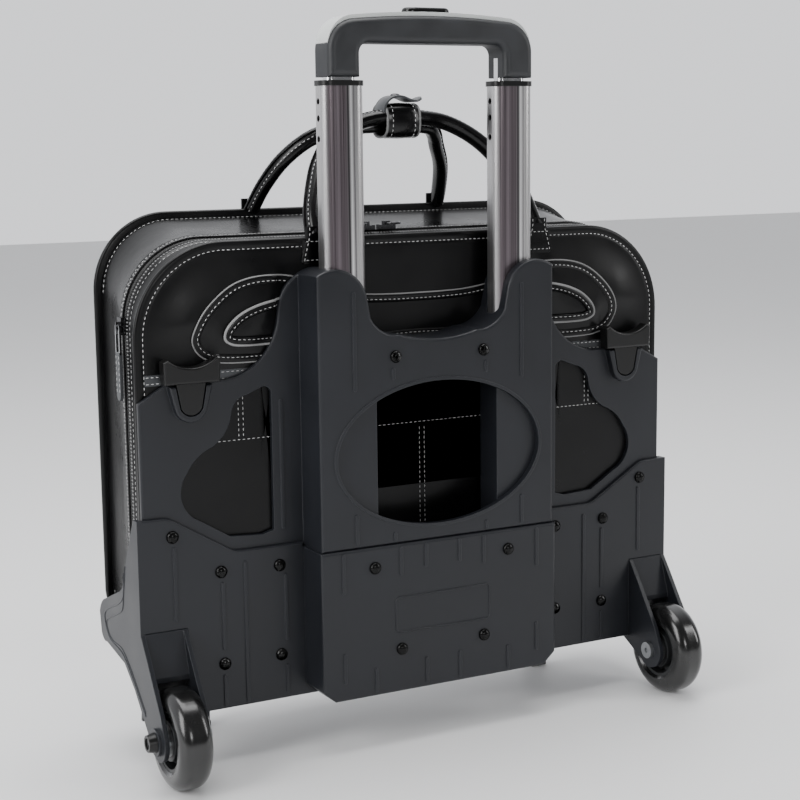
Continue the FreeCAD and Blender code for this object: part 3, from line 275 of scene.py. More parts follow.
def brushedTube(name, centre):
    # a mauve band with narrow lines on it, between pale sides, with a painted sheen, painted groove
    # shade and a painted highlight line laid over it
    finish = Finish(name, Metallic=1.0, Anisotropic=0.4)
    across = finish.along(0) - centre
    lines = finish.noise(1, 3, finish.stretched((1500, 700, 5)))
    flow = finish.spread(lines, 0.3, 0.7, 0, 1)

    def band(low, high, soft):
        return (finish.spread(across, (low - soft) * mm, (low + soft) * mm, 0, 1)
                * finish.spread(across, (high - soft) * mm, (high + soft) * mm, 1, 0))

    sides = finish.mix(flow, (0.42, 0.415, 0.42, 1), (0.56, 0.55, 0.55, 1))
    mauve = finish.mix(flow, (0.105, 0.088, 0.097, 1), (0.175, 0.148, 0.162, 1))
    colour = finish.mix(band(-13.6, 2.2, 1.6), sides, mauve)
    # paint the sheen, the groove shade and the highlight line into the colour
    for low, high, soft, strength, tint in tubeBands.values():
        colour = finish.mix(band(low, high, soft) * strength, colour, tint)
    roughness = finish.spread(lines, 0.3, 0.7, 0.26, 0.38)
    return finish.wear(colour, roughness, None, finish.bump(lines, 0.1, 0.1 * mm))


def metal(name, tint, shine, scratch=0.06):
    finish = Finish(name, Metallic=1.0)
    lines = finish.noise(1, 2, finish.stretched((1800, 1800, 60)))
    roughness = finish.spread(finish.noise(160, 4), 0.3, 0.7, shine - 0.03, shine + 0.08)
    colour = finish.mix(finish.spread(lines, 0.3, 0.7, 0, 1), tint,
                        tuple(part * 0.82 for part in tint[:3]) + (1,))
    return finish.wear(colour, roughness, None, finish.bump(lines, scratch, 0.08 * mm))


def cloth(name, tint, threads=1400):
    # plain weave
    finish = Finish(name, Sheen_Weight=0.25, Sheen_Roughness=0.5)
    warp = finish.node("ShaderNodeTexWave", {"bands_direction": "X"},
                       {"Vector": finish.place, "Scale": threads / 6.28, "Distortion": 0.6})
    weft = finish.node("ShaderNodeTexWave", {"bands_direction": "Z"},
                       {"Vector": finish.place, "Scale": threads / 6.28, "Distortion": 0.6})
    weave = warp * weft
    pale = tuple(part * 2.2 for part in tint[:3]) + (1,)
    colour = finish.mix(weave, tint, pale)
    return finish.wear(colour, finish.spread(weave, 0, 1, 0.9, 0.7), None,
                       finish.bump(weave, 0.5, 0.3 * mm))


def rubber(name, tint, shine, coat=0.0):
    finish = Finish(name, Coat_Weight=coat, Coat_Roughness=0.15)
    smear = finish.noise(48, 5)
    pale = tuple(part * 1.8 for part in tint[:3]) + (1,)
    colour = finish.mix(finish.spread(smear, 0.4, 0.75, 0, 1), tint, pale)
    roughness = finish.spread(smear, 0.3, 0.7, shine - 0.04, shine + 0.1)
    return finish.wear(colour, roughness, None, finish.bump(finish.noise(1900, 2), 0.07, 0.2 * mm,
                                                            finish.eased(0.8 * mm)))


finishes = {
    "frame_plastic": moulding("framePlastic", (0.0105, 0.0115, 0.0145, 1), 0.38),
    "black_plastic": moulding("blackPlastic", grey(0.005), 0.3, 0.6 * mm),
    "black_gloss": moulding("blackGloss", grey(0.006), 0.14, 0.5 * mm, 0.0),
    "chrome_tube": metal("polishedTube", (0.78, 0.78, 0.79, 1), 0.16),
    "bolt_steel": metal("zincSteel", (0.42, 0.43, 0.44, 1), 0.32, 0.12),
    "wheel_tyre": rubber("wheelUrethane", grey(0.004), 0.2, 0.4),
    "wheel_hub": moulding("wheelHub", grey(0.014, 0.1), 0.34, 0.6 * mm),
    "rubber_foot": rubber("footRubber", grey(0.012), 0.62),
    "grip_rubber": rubber("gripSoftTouch", (0.0095, 0.0105, 0.0125, 1), 0.46),
    "grip_trim": moulding("gripTrim", (0.56, 0.58, 0.57, 1), 0.3, 0.7 * mm, 0.03),
    "black_leather": hideLeather("blackLeather", (0.0014, 0.0014, 0.0016, 1), 0.24, 0.2),
    "grey_leather": hideLeather("pullLeather", (0.055, 0.058, 0.062, 1), 0.38, 0.15),
    "zip_tape": cloth("zipTape", grey(0.012)),
    "lining_fabric": cloth("liningFabric", grey(0.03, 0.2)),
    "board_plastic": moulding("boardPlastic", grey(0.012), 0.5),
    "dark_nickel": metal("darkNickel", (0.12, 0.12, 0.125, 1), 0.22),
    "chrome_link": metal("pullChrome", (0.8, 0.81, 0.82, 1), 0.1),
}
sideLeather = hideLeather("gussetLeather", (0.002, 0.002, 0.0022, 1), 0.28, 0.14, 0.3)
panelLeather = hideLeather("panelLeather", (0.0012, 0.0012, 0.0014, 1), 0.33, 0.05, 0.12)
threadFinish = cloth("stitchThread", grey(0.5), 2600)
# pale grey piping leather: a painted highlight along the raised piped edges
paintedPipingHighlight = hideLeather("paintedPipingHighlightLeather", (0.19, 0.19, 0.19, 1), 0.34, 0.3, 0.1)
coilFinish = moulding("zipCoil", grey(0.012), 0.3, 0.1 * mm, 0.0)
ribFinish = moulding("zipRibs", grey(0.2), 0.34, 0.1 * mm, 0.0)


def dressNodes():
    slots = {row["node"]: row["material_slot"] for row in frame["record"]["subparts"]}
    for name, item in nodes.items():
        slot = slots[name]
        if slot == "tube_metal":
            low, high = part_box(name)
            item.data.materials.clear()
            item.data.materials.append(brushedTube("drawn_" + name, (low.x + high.x) / 2))
            continue
        look = "black_plastic" if name.startswith("latch_cap") else slot
        item.data.materials.clear()
        item.data.materials.append(finishes[look])


dressNodes()
print("finishes ready")


# mesh helpers

def mix(first, second, share):
    return first + (second - first) * share


def ease(value):
    held = min(max(value, 0.0), 1.0)
    return held * held * (3 - 2 * held)


def makePiece(name, bm, material, slotName, *replaced, body="case", sharp=38, turn=True):
    if turn:
        bmesh.ops.remove_doubles(bm, verts=bm.verts, dist=0.001 * mm)
        bmesh.ops.recalc_face_normals(bm, faces=bm.faces)
    mesh = bpy.data.meshes.new(name)
    bm.to_mesh(mesh)
    bm.free()
    mesh.shade_smooth()
    mesh.set_sharp_from_angle(angle=math.radians(sharp))
    mesh.materials.append(material)
    piece = bpy.data.objects.new(name, mesh)
    scene.collection.objects.link(piece)
    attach(piece, body)
    if replaced:
        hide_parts(*replaced)
    return piece


def addLoop(bm, points, closed=True):
    made = [bm.verts.new(point) for point in points]
    pairs = list(zip(made, made[1:]))
    if closed:
        pairs.append((made[-1], made[0]))
    return [bm.edges.new(pair) for pair in pairs]


def skinLoops(bm, loops, around=False):
    # faces between each loop and the next one
    following = loops[1:] + loops[:1] if around else loops[1:]
    for one, other in zip(loops, following):
        bmesh.ops.bridge_loops(bm, edges=one + other)


def capLoop(bm, loop):
    bmesh.ops.contextual_create(bm, geom=loop)


def stretch(start, stop, steps):
    return [(mix(start[0], stop[0], step / steps), mix(start[1], stop[1], step / steps))
            for step in range(steps)]


def arc(centre, radius, start, stop, steps):
    made = []
    for step in range(steps):
        angle = math.radians(mix(start, stop, step / steps))
        made.append((centre[0] + radius * math.cos(angle), centre[1] + radius * math.sin(angle)))
    return made


def evenly(points, pitch, closed):
    # places at an even pitch along a line, each with the line's direction there
    line = [Vector(point) for point in points]
    if closed:
        line.append(line[0])
    spans = [(b - a).length for a, b in zip(line, line[1:])]
    total = sum(spans)
    count = max(2, round(total / pitch))
    made = []
    index, passed = 0, 0.0
    for step in range(count):
        target = total * (step + 0.5) / count
        while passed + spans[index] < target:
            passed += spans[index]
            index += 1
        way = (line[index + 1] - line[index]).normalized()
        made.append((line[index] + way * (target - passed), way))
    return made


# stitches: short rounded threads that lie on the leather

stitch = {"pitch": 3.7 * mm, "long": 2.5 * mm, "wide": 0.62 * mm, "thick": 0.42 * mm}


def sewLine(bm, points, outward, closed=False, rise=0.12 * mm, thread=stitch):
    for place, way in evenly(points, thread["pitch"], closed):
        out = outward(place) if callable(outward) else Vector(outward)
        side = way.cross(out).normalized()
        out = side.cross(way)
        turn = Matrix((way * thread["long"] / 2, side * thread["wide"] / 2,
                       out * thread["thick"] / 2)).transposed().to_4x4()
        bmesh.ops.create_icosphere(bm, subdivisions=1, radius=1.0,
                                   matrix=Matrix.Translation(place + out * rise) @ turn)


def sweep(bm, points, section, up, closed=False):
    # a section of (side, up) points carried along a line
    line = [Vector(point) for point in points]
    loops = []
    for index, place in enumerate(line):
        before = line[index - 1] if index or closed else place
        after = line[(index + 1) % len(line)] if index + 1 < len(line) or closed else place
        way = (after - before).normalized()
        out = up(index) if callable(up) else Vector(up)
        side = way.cross(out).normalized()
        out = side.cross(way)
        spots = section(index / max(1, len(line) - 1)) if callable(section) else section
        loops.append(addLoop(bm, [place + side * x + out * y for x, y in spots]))
    skinLoops(bm, loops, closed)
    if not closed:
        capLoop(bm, loops[0])
        capLoop(bm, loops[-1])


def strapSection(half, side, top, under=0.3 * mm):
    # a flat strap with eased upper edges
    chamfer = min(0.7 * mm, half / 4)
    return [(-half, -under), (half, -under), (half, side), (half - chamfer, top),
            (chamfer - half, top), (-half, side)]


def roundSection(across, rise, steps=10):
    angles = [2 * math.pi * step / steps for step in range(steps)]
    return [(across * math.cos(angle), rise * math.sin(angle)) for angle in angles]


# the bag's outline: straight sides, large top corners, small bottom corners

rearLow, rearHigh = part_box("rear_panel")
frontLow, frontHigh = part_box("front_panel")
bag = {
    "half": rearHigh.x, "foot": rearLow.z, "rearTop": rearHigh.z, "frontTop": frontHigh.z,
    "rearCorner": 66 * mm, "frontCorner": 56 * mm, "footCorner": 24 * mm,
    "seamIn": 6.2 * mm, "taper": 5.5 * mm, "middle": 220 * mm,
}


def bagLine(share, inset):
    # half of the outline is worked out and mirrored; share 0 is the rear panel, 1 the front one
    half = bag["half"] - inset - bag["taper"] * ease((share - 0.3) / 0.7)
    low = bag["foot"] + inset
    high = mix(bag["rearTop"], bag["frontTop"], share) - inset
    corner = max(mix(bag["rearCorner"], bag["frontCorner"], share) - inset, 3 * mm)
    foot = max(bag["footCorner"] - inset, 2 * mm)
    right = stretch((0, low), (half - foot, low), 30)
    right += arc((half - foot, low + foot), foot, -90, 0, 8)
    right += stretch((half, low + foot), (half, high - corner), 34)
    right += arc((half - corner, high - corner), corner, 0, 90, 22)
    right += stretch((half - corner, high), (0, high), 28)
    right.append((0, high))
    return right + [(-x, z) for x, z in reversed(right[1:-1])]


def ring(share, inset, y):
    return [Vector((x, y, z)) for x, z in bagLine(share, inset)]


# rear panel: padded above the frame's wings and latches, flat against the plate below them

def plateTop(x):
    # height up to which the frame lies against the leather
    reach = abs(x)
    if reach < 112 * mm:
        return 345 * mm
    if reach < 157 * mm:
        return 318 * mm - math.sqrt(max((45 * mm) ** 2 - (157 * mm - reach) ** 2, 0)) + 2 * mm
    return 292 * mm if reach < 206 * mm else 275 * mm


def edgeDepth(x, z, share):
    # how far a place is inside the bag's outline
    high = mix(bag["rearTop"], bag["frontTop"], share)
    corner = mix(bag["rearCorner"], bag["frontCorner"], share)
    reach = bag["half"] - abs(x)
    drop = high - z
    if reach < corner and drop < corner:
        return corner - math.hypot(corner - reach, corner - drop)
    return min(reach, drop, z - bag["foot"])


# how far in the padding starts, how far it takes to fill out, and its height and unevenness
rearPad = {"start": 8 * mm, "over": 34 * mm, "clear": 2 * mm, "fade": 20 * mm,
           "puff": 4.2 * mm, "uneven": 0.35 * mm}
frontPad = {"start": 12 * mm, "over": 60 * mm, "puff": 3.2 * mm, "uneven": 0.8 * mm}


def rearRise(x, z):
    # how far the rear leather stands out of its plane
    edge = ease((edgeDepth(x, z, 0) - rearPad["start"]) / rearPad["over"])
    free = ease((z - plateTop(x) - rearPad["clear"]) / rearPad["fade"])
    soft = rearPad["uneven"] * noise.noise(Vector((x, z, 0.3)) * 18) * free
    return rearPad["puff"] * edge * free + soft


def frontRise(x, z):
    edge = ease((edgeDepth(x, z, 1) - frontPad["start"]) / frontPad["over"])
    uneven = frontPad["uneven"] * noise.noise(Vector((x, z, 4.0)) * 9)
    return edge * (frontPad["puff"] + uneven)


def panelPiece(name, node, share, outward, rise):
    low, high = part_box(node)
    face, back = (low.y, high.y) if outward < 0 else (high.y, low.y)
    inward = -outward
    bm = bmesh.new()
    rim = [(7, 0.0), (2.2, 0.0), (1.0, 0.35), (0.35, 1.0), (0.0, 2.0)]
    loops = [addLoop(bm, ring(share, inset * mm, back + outward * deep * mm))
             for inset, deep in rim]
    loops += [addLoop(bm, ring(share, inset * mm, face + inward * deep * mm))
              for inset, deep in [(0.0, 1.8), (0.35, 0.9), (1.0, 0.3), (2.2, 0.02), (4.9, 0.0),
                                  (5.6, 0.28), (6.8, 0.28), (7.5, 0.0)]]
    insets = [9, 12, 16, 21, 26, 31, 36, 42, 48, 54, 60, 67, 74, 82, 90, 99, 108, 118, 128, 136]
    for inset in insets:
        spots = [Vector((x, face + outward * rise(x, z), z)) for x, z in bagLine(share, inset * mm)]
        loops.append(addLoop(bm, spots))
    skinLoops(bm, loops)
    capLoop(bm, loops[0])
    capLoop(bm, loops[-1])
    return makePiece(name, bm, panelLeather, "black_leather", node)


panelPiece("rearPanelLeather", "rear_panel", 0, -1, rearRise)
panelPiece("frontPanelLeather", "front_panel", 1, 1, frontRise)
rearFace, frontFace = rearLow.y, frontHigh.y


def onRear(x, z, lift=0.0):
    return Vector((x, rearFace - rearRise(x, z) - lift, z))


def onFront(x, z, lift=0.0):
    return Vector((x, frontFace + frontRise(x, z) + lift, z))


# gusset and zip: a soft wall all round, with leather lips folded back beside the coil

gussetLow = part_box("gusset_rear")[0]
zipLow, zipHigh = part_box("main_zip")
depth = frontLow.y - rearHigh.y


def shareAt(y):
    return (y - rearHigh.y) / depth


# a lip beside the zip: distance from its edge and inset from the outline, in mm
lip = [(0.6, 5.6), (-0.5, 4.9), (-0.2, 4.15), (1.0, 4.0), (3.2, 4.35), (4.2, 4.95)]


def gussetPiece(name, node, low, high, sag, lipAtStart, lipAtStop):
    if lipAtStart:
        rows = [(low + along * mm, inset) for along, inset in lip]
    else:
        rows = [(low, 5.0)]
    steps = max(4, round((high - low) / (6 * mm)))
    for step in range(1, steps):
        share = step / steps
        rows.append((mix(low + 5 * mm * lipAtStart, high - 5 * mm * lipAtStop, share),
                     5.0 + sag * math.sin(math.pi * share)))
    if lipAtStop:
        rows += [(high - along * mm, inset) for along, inset in reversed(lip)]
    else:
        rows += [(high, 5.0)]
    rows += [(high - 1.0 * mm, 7.6), (low + 1.0 * mm, 7.6)]
    bm = bmesh.new()
    loops = []
    for y, inset in rows:
        spots = []
        middle = ease(min(y - low, high - y) / (10 * mm))
        for x, z in bagLine(shareAt(y), inset * mm):
            ripple = noise.noise(Vector((x * 14, y * 20, z * 14))) * 0.9 * mm * middle * (sag > 0)
            away = Vector((x, 0, z - bag["middle"])).normalized()
            spots.append(Vector((x, y, z)) + away * ripple)
        loops.append(addLoop(bm, spots))
    skinLoops(bm, loops, True)
    return makePiece(name, bm, sideLeather, "black_leather", node)


gussetPiece("rearGussetLeather", "gusset_rear", gussetLow.y, zipLow.y, 0.5, False, True)
gussetPiece("frontGussetLeather", "gusset_front", zipHigh.y, frontLow.y, 1.6, True, False)


def zipTapePiece():
    bm = bmesh.new()
    loops = [addLoop(bm, ring(shareAt(y), inset * mm, y)) for y, inset in
             [(zipLow.y - 1 * mm, 5.7), (zipHigh.y + 1 * mm, 5.7), (zipHigh.y + 1 * mm, 6.6),
              (zipLow.y - 1 * mm, 6.6)]]
    skinLoops(bm, loops, True)
    makePiece("zipTapeBand", bm, finishes["zip_tape"], "zip_tape", "main_zip")


def outOfBag(place):
    # outward direction on the gusset at a place
    x, z = place.x, place.z
    top = mix(bag["rearTop"], bag["frontTop"], shareAt(place.y))
    corner = mix(bag["rearCorner"], bag["frontCorner"], shareAt(place.y))
    if abs(x) > bag["half"] - corner and z > top - corner:
        centre = Vector((math.copysign(bag["half"] - corner, x), 0, top - corner))
        return Vector((x - centre.x, 0, z - centre.z)).normalized()
    if abs(x) > bag["half"] - 8 * mm:
        return Vector((math.copysign(1, x), 0, 0))
    return Vector((0, 0, 1 if z > 0.2 else -1))


coil = {"inset": 5.25 * mm, "pitch": 1.75 * mm, "apart": 0.95 * mm, "round": 0.62 * mm,
        "wide": 1.55 * mm, "stop": 16 * mm}


def zipCoilPiece():
    # two rows of coil turns that mesh along the middle of the tape
    middle = (zipLow.y + zipHigh.y) / 2
    bm = bmesh.new()
    for row, shift in ((-1, 0.0), (1, 0.5)):
        points = [(x, middle, z) for x, z in bagLine(shareAt(middle), coil["inset"])]
        for place, way in evenly(points, coil["pitch"], True):
            if place.z < bag["foot"] + coil["stop"]:
                continue
            out = outOfBag(place)
            place = place + way * coil["pitch"] * shift + Vector((0, row * coil["apart"], 0))
            turn = Matrix((way * coil["round"], Vector((0, coil["wide"], 0)),
                           out * coil["round"])).transposed()
            bmesh.ops.create_icosphere(bm, subdivisions=1, radius=1.0,
                                       matrix=Matrix.Translation(place) @ turn.to_4x4())
    makePiece("zipCoil", bm, coilFinish, "zip_tape", turn=False, sharp=180)


zipTapePiece()
zipCoilPiece()
print("bag shell made")


# stitching round the panels and beside the zip

def closedOn(share, inset, surface):
    return [surface(x, z) for x, z in bagLine(share, inset)]


def sewnPiece(name, bm, slotName="black_leather", material=None, **how):
    return makePiece(name, bm, material or threadFinish, slotName, turn=False, sharp=180, **how)


# close ribs along both lips of the zip
rib = {"pitch": 2.5 * mm, "long": 1.3 * mm, "wide": 3.4 * mm, "thick": 1.2 * mm}


def stitchPieces():
    for name, share, surface, outward in (("rearPanelStitches", 0, onRear, (0, -1, 0)),
                                          ("frontPanelStitches", 1, onFront, (0, 1, 0))):
        bm = bmesh.new()
        sewLine(bm, closedOn(share, bag["seamIn"], surface), outward, True, -0.1 * mm)
        sewnPiece(name, bm)
    bm = bmesh.new()
    for y, inset in ((zipLow.y - 4.8 * mm, 4.9), (zipHigh.y + 4.8 * mm, 4.9),
                     (frontLow.y - 4.5 * mm, 5.0)):
        sewLine(bm, ring(shareAt(y), inset * mm, y), outOfBag, True)
    sewnPiece("gussetStitches", bm)
    bm = bmesh.new()
    for y, inset in ((zipLow.y - 1.2 * mm, 4.1), (zipHigh.y + 1.2 * mm, 4.1)):
        sewLine(bm, ring(shareAt(y), inset * mm, y), outOfBag, True, 0, rib)
    sewnPiece("zipLipRibs", bm, "zip_tape", ribFinish)


stitchPieces()


# overlays on the rear panel: a wide shaped patch and a teardrop pocket mouth on each side

patchHalf = [(0, 292.5), (40, 291), (80, 287.5), (123, 284), (154, 285), (168, 289.5), (174.6, 299),
             (173.5, 309), (166, 321.5), (152, 334), (138, 340.5), (120, 343), (100, 341.5),
             (82, 335), (63, 329), (42, 325.6), (20, 324.6), (0, 324.5)]
dropHalf = [(84, 296.2), (114, 295.8), (140, 296.4), (149, 298.2), (152.5, 302), (150, 309),
            (141, 317), (128, 322.6), (112, 326), (92, 328), (80, 326), (76, 316), (76, 304)]


def smoothLine(points, closed, count=9):
    # a Catmull curve through the points
    made = []
    total = len(points)
    spans = total if closed else total - 1
    for index in range(spans):
        if closed:
            a, b, c, d = (Vector(points[(index + k) % total]) for k in (-1, 0, 1, 2))
        else:
            a, b, c, d = (Vector(points[min(max(index + k, 0), total - 1)]) for k in (-1, 0, 1, 2))
        for step in range(count):
            t = step / count
            made.append(0.5 * (2 * b + (c - a) * t + (2 * a - 5 * b + 4 * c - d) * t * t
                               + (3 * b - a - 3 * c + d) * t ** 3))
    if not closed:
        made.append(Vector(points[-1]))
    return made


def insetLine(points, distance):
    # the same closed line moved inwards
    total = len(points)
    area = sum(points[i].x * points[(i + 1) % total].y - points[(i + 1) % total].x * points[i].y
               for i in range(total))
    turn = 1 if area > 0 else -1
    made = []
    for index, point in enumerate(points):
        way = (points[(index + 1) % total] - points[index - 1]).normalized()
        made.append(point + Vector((-way.y, way.x)) * distance * turn)
    return made


def overlay(name, line, thick, pipe):
    # a raised leather patch with a piped edge and a row of stitches inside it
    flat = [point * mm for point in line]
    levels = [(0.6, -0.3), (0.0, -0.1), (0.0, 0.55), (0.25, 0.85), (0.7, 1.0), (2.6, 1.0),
              (3.0, 0.8), (4.2, 0.8), (4.6, 0.95), (5.2, 0.7), (5.8, 0.2), (5.6, -0.3)]
    bm = bmesh.new()
    loops = []
    for inset, level in levels:
        spots = insetLine(flat, inset * mm)
        loops.append(addLoop(bm, [onRear(p.x, p.y, thick * level) for p in spots]))
    skinLoops(bm, loops, True)
    makePiece(name, bm, panelLeather, "black_leather")
    bm = bmesh.new()
    edge = [onRear(p.x, p.y, thick * 0.72) for p in insetLine(flat, -0.25 * mm)]
    sweep(bm, edge, roundSection(pipe, pipe, 8), (0, -1, 0), True)
    # the piping's pale grey is a painted highlight on the raised edge
    makePiece(name + "Piping", bm, paintedPipingHighlight, "grey_leather", sharp=60)
    bm = bmesh.new()
    seam = [onRear(p.x, p.y, thick * 0.8) for p in insetLine(flat, 3.6 * mm)]
    sewLine(bm, seam, (0, -1, 0), True)
    sewnPiece(name + "Stitches", bm)


def overlays():
    right = [Vector(p) for p in patchHalf]
    whole = right + [Vector((-p.x, p.y)) for p in reversed(right[1:-1])]
    overlay("rearPatch", smoothLine(whole, True, 6), 1.3 * mm, 0.55 * mm)
    for side, sign in (("Left", -1), ("Right", 1)):
        drop = [Vector((sign * x, z)) for x, z in dropHalf]
        overlay("pocketMouth" + side, smoothLine(drop, True, 6), 2.3 * mm, 0.95 * mm)


overlays()
print("overlays made")


# seams that show through the openings of the frame, and the hem strap beside the latches

seams = {"level": 229.5, "levelEnd": 188, "upper": (-142, -138.5, 148, 151.5), "upperTop": 268,
         "lower": (1.5, 5.5), "lowerFoot": 120, "hemLow": 272.0, "hemHigh": 279.5}


def seamPieces():
    bm = bmesh.new()
    spans = [((-seams["levelEnd"], seams["level"]), (seams["levelEnd"], seams["level"]))]
    spans += [((x, seams["level"] + 1.5), (x, seams["upperTop"])) for x in seams["upper"]]
    spans += [((x, seams["lowerFoot"]), (x, seams["level"] - 3)) for x in seams["lower"]]
    for start, stop in spans:
        points = [Vector((mix(start[0], stop[0], k / 40) * mm, rearFace,
                          mix(start[1], stop[1], k / 40) * mm)) for k in range(41)]
        sewLine(bm, points, (0, -1, 0))
    sewnPiece("rearSeamStitches", bm)
    bm = bmesh.new()
    sew = bmesh.new()
    for sign in (-1, 1):
        low, high = seams["hemLow"] * mm, seams["hemHigh"] * mm
        points = [onRear(sign * mix(118, 209.5, k / 30) * mm, (low + high) / 2) for k in range(31)]
        sweep(bm, points, strapSection((high - low) / 2, 0.28 * mm, 0.35 * mm), (0, -1, 0))
        for z in (low + 1.5 * mm, high - 1.5 * mm):
            sewLine(sew, [Vector((p.x, p.y - 0.35 * mm, z)) for p in points], (0, -1, 0))
    makePiece("hemStraps", bm, finishes["grey_leather"], "grey_leather")
    sewnPiece("hemStitches", sew)


seamPieces()


# carry handles: rolled leather loops with a sewn ridge, leaning in to the wrap

handle = {"across": 6.9 * mm, "rise": 5.2 * mm, "ridge": 1.7 * mm, "inset": 6 * mm}
leg = {"foot": 12.0, "top": 7.4, "past": 7 * mm, "side": 1.3 * mm, "thick": 1.9 * mm,
       "seamIn": 2.2, "rows": (3, 16), "rowHalf": 9.0 * mm}
middleY = (rearLow.y + frontHigh.y) / 2

# share of the half span from the middle, and share of the rise
rearShape = [(-1, 0), (-0.998, 0.03), (-0.974, 0.2), (-0.892, 0.43), (-0.795, 0.62), (-0.62, 0.82),
             (-0.336, 0.955), (0, 1), (0.2, 0.985), (0.395, 0.95), (0.584, 0.85), (0.736, 0.71),
             (0.87, 0.5), (0.957, 0.3), (0.99, 0.1), (1, 0)]
frontShape = [(-1, 0), (-0.99, 0.05), (-0.93, 0.31), (-0.796, 0.62), (-0.55, 0.88), (-0.18, 0.985),
              (0.2, 1), (0.58, 0.985), (0.704, 0.88), (0.771, 0.74), (0.868, 0.55), (0.927, 0.38),
              (0.98, 0.14), (1, 0)]


def handleLine(node, shape, baseY, topY, topZ):
    low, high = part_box(node)
    reach = (high.x - low.x) / 2 - handle["inset"]
    foot = Vector(((low.x + high.x) / 2, baseY, low.z))
    crest = Vector((foot.x, topY, topZ))
    spots = [foot + (crest - foot) * lift + Vector((reach * share, 0, 0)) for share, lift in shape]
    return smoothLine(spots, False, 4)


def legHalf(share):
    # half the width of a leg in mm, from its foot up
    return mix(leg["foot"], leg["top"], ease(share * 1.15))


def carryHandle(name, node, shape, baseY, topY, topZ, legFace, legFoot, outward):
    line = handleLine(node, shape, baseY, topY, topZ)
    middle = (line[0].x + line[-1].x) / 2
    crest = Vector((middle, topY, topZ))
    foot = Vector((middle, baseY, line[0].z))
    lean = (crest - foot).normalized()
    facing = Vector((1, 0, 0)).cross(lean) * -1
    centre = foot + (crest - foot) * 0.3

    def away(index):
        out = line[index] - centre
        return (out - out.project(facing)).normalized()

    wide, thick, ridge = handle["across"], handle["rise"], handle["ridge"]
    bm = bmesh.new()
    sweep(bm, line, roundSection(wide, thick, 18), away)
    makePiece(name, bm, finishes["black_leather"], "black_leather", node, sharp=60)
    bm = bmesh.new()
    rim = [point + away(i) * (thick - 0.3 * mm) for i, point in enumerate(line)]
    fin = [(-1.0 * mm, -0.5 * mm), (1.0 * mm, -0.5 * mm), (0.85 * mm, ridge),
           (0.0, ridge + 0.3 * mm), (-0.85 * mm, ridge)]
    sweep(bm, rim, fin, away)
    makePiece(name + "Seam", bm, finishes["black_leather"], "black_leather", sharp=60)
    bm = bmesh.new()
    for flip in (-1, 1):
        seam = [point + away(i) * (thick - 0.9 * mm) + facing * flip * wide * 0.58
                for i, point in enumerate(line)]

        def seamOut(place, flip=flip):
            out = place - centre
            return ((out - out.project(facing)).normalized() + facing * flip * 0.9).normalized()

        sewLine(bm, seam, seamOut)
    sewnPiece(name + "Stitches", bm)
    # flat leg of the strap sewn to the panel
    bm = bmesh.new()
    sew = bmesh.new()
    for x in (line[0].x, line[-1].x):
        top = line[0].z + leg["past"]
        steps = 16
        heights = [mix(legFoot, top, k / steps) for k in range(steps + 1)]
        points = [Vector((x, legFace(x, z).y, z)) for z in heights]

        def legSection(share):
            half = legHalf(share) * mm
            if share < 0.1:
                half *= math.sqrt(max(1 - ((0.1 - share) / 0.1) ** 2 * 0.35, 0.1))
            return strapSection(half, leg["side"], leg["thick"])

        sweep(bm, points, legSection, (0, outward, 0))
        for edge in (-1, 1):
            row = []
            for k in range(steps + 1):
                half = (legHalf(k / steps) - leg["seamIn"]) * mm
                row.append(points[k] + Vector((edge * half, outward * leg["thick"], 0)))
            sewLine(sew, row[1:], (0, outward, 0))
        for height in leg["rows"]:
            half = leg["rowHalf"]
            z = legFoot + height * mm
            y = legFace(x, z).y + outward * leg["thick"]
            row = [Vector((x + mix(-half, half, k / 8), y, z)) for k in range(9)]
            sewLine(sew, row, (0, outward, 0))
    makePiece(name + "Legs", bm, finishes["black_leather"], "black_leather")
    sewnPiece(name + "LegStitches", sew)


wrapLow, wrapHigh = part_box("handle_wrap")
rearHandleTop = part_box("carry_handle_rear")[1].z - 6 * mm
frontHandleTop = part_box("carry_handle_front")[1].z - 6 * mm
carryHandle("rearHandle", "carry_handle_rear", rearShape, rearLow.y + 2.5 * mm,
            middleY - 5.2 * mm, rearHandleTop - 1.5 * mm, onRear, rearHigh.z - 19 * mm, -1)
carryHandle("frontHandle", "carry_handle_front", frontShape, frontHigh.y - 2.5 * mm,
            middleY + 5.2 * mm, frontHandleTop + 3.5 * mm, onFront, frontHigh.z - 36 * mm, 1)


wrap = {"startIn": 7 * mm, "stopIn": 6 * mm, "lift": 3.2 * mm, "half": 12.6 * mm, "square": 0.72,
        "pipe": 1.0 * mm, "seamIn": 4.2 * mm, "tabHalf": 8 * mm, "snap": (3.6, 3.6, 1.3)}


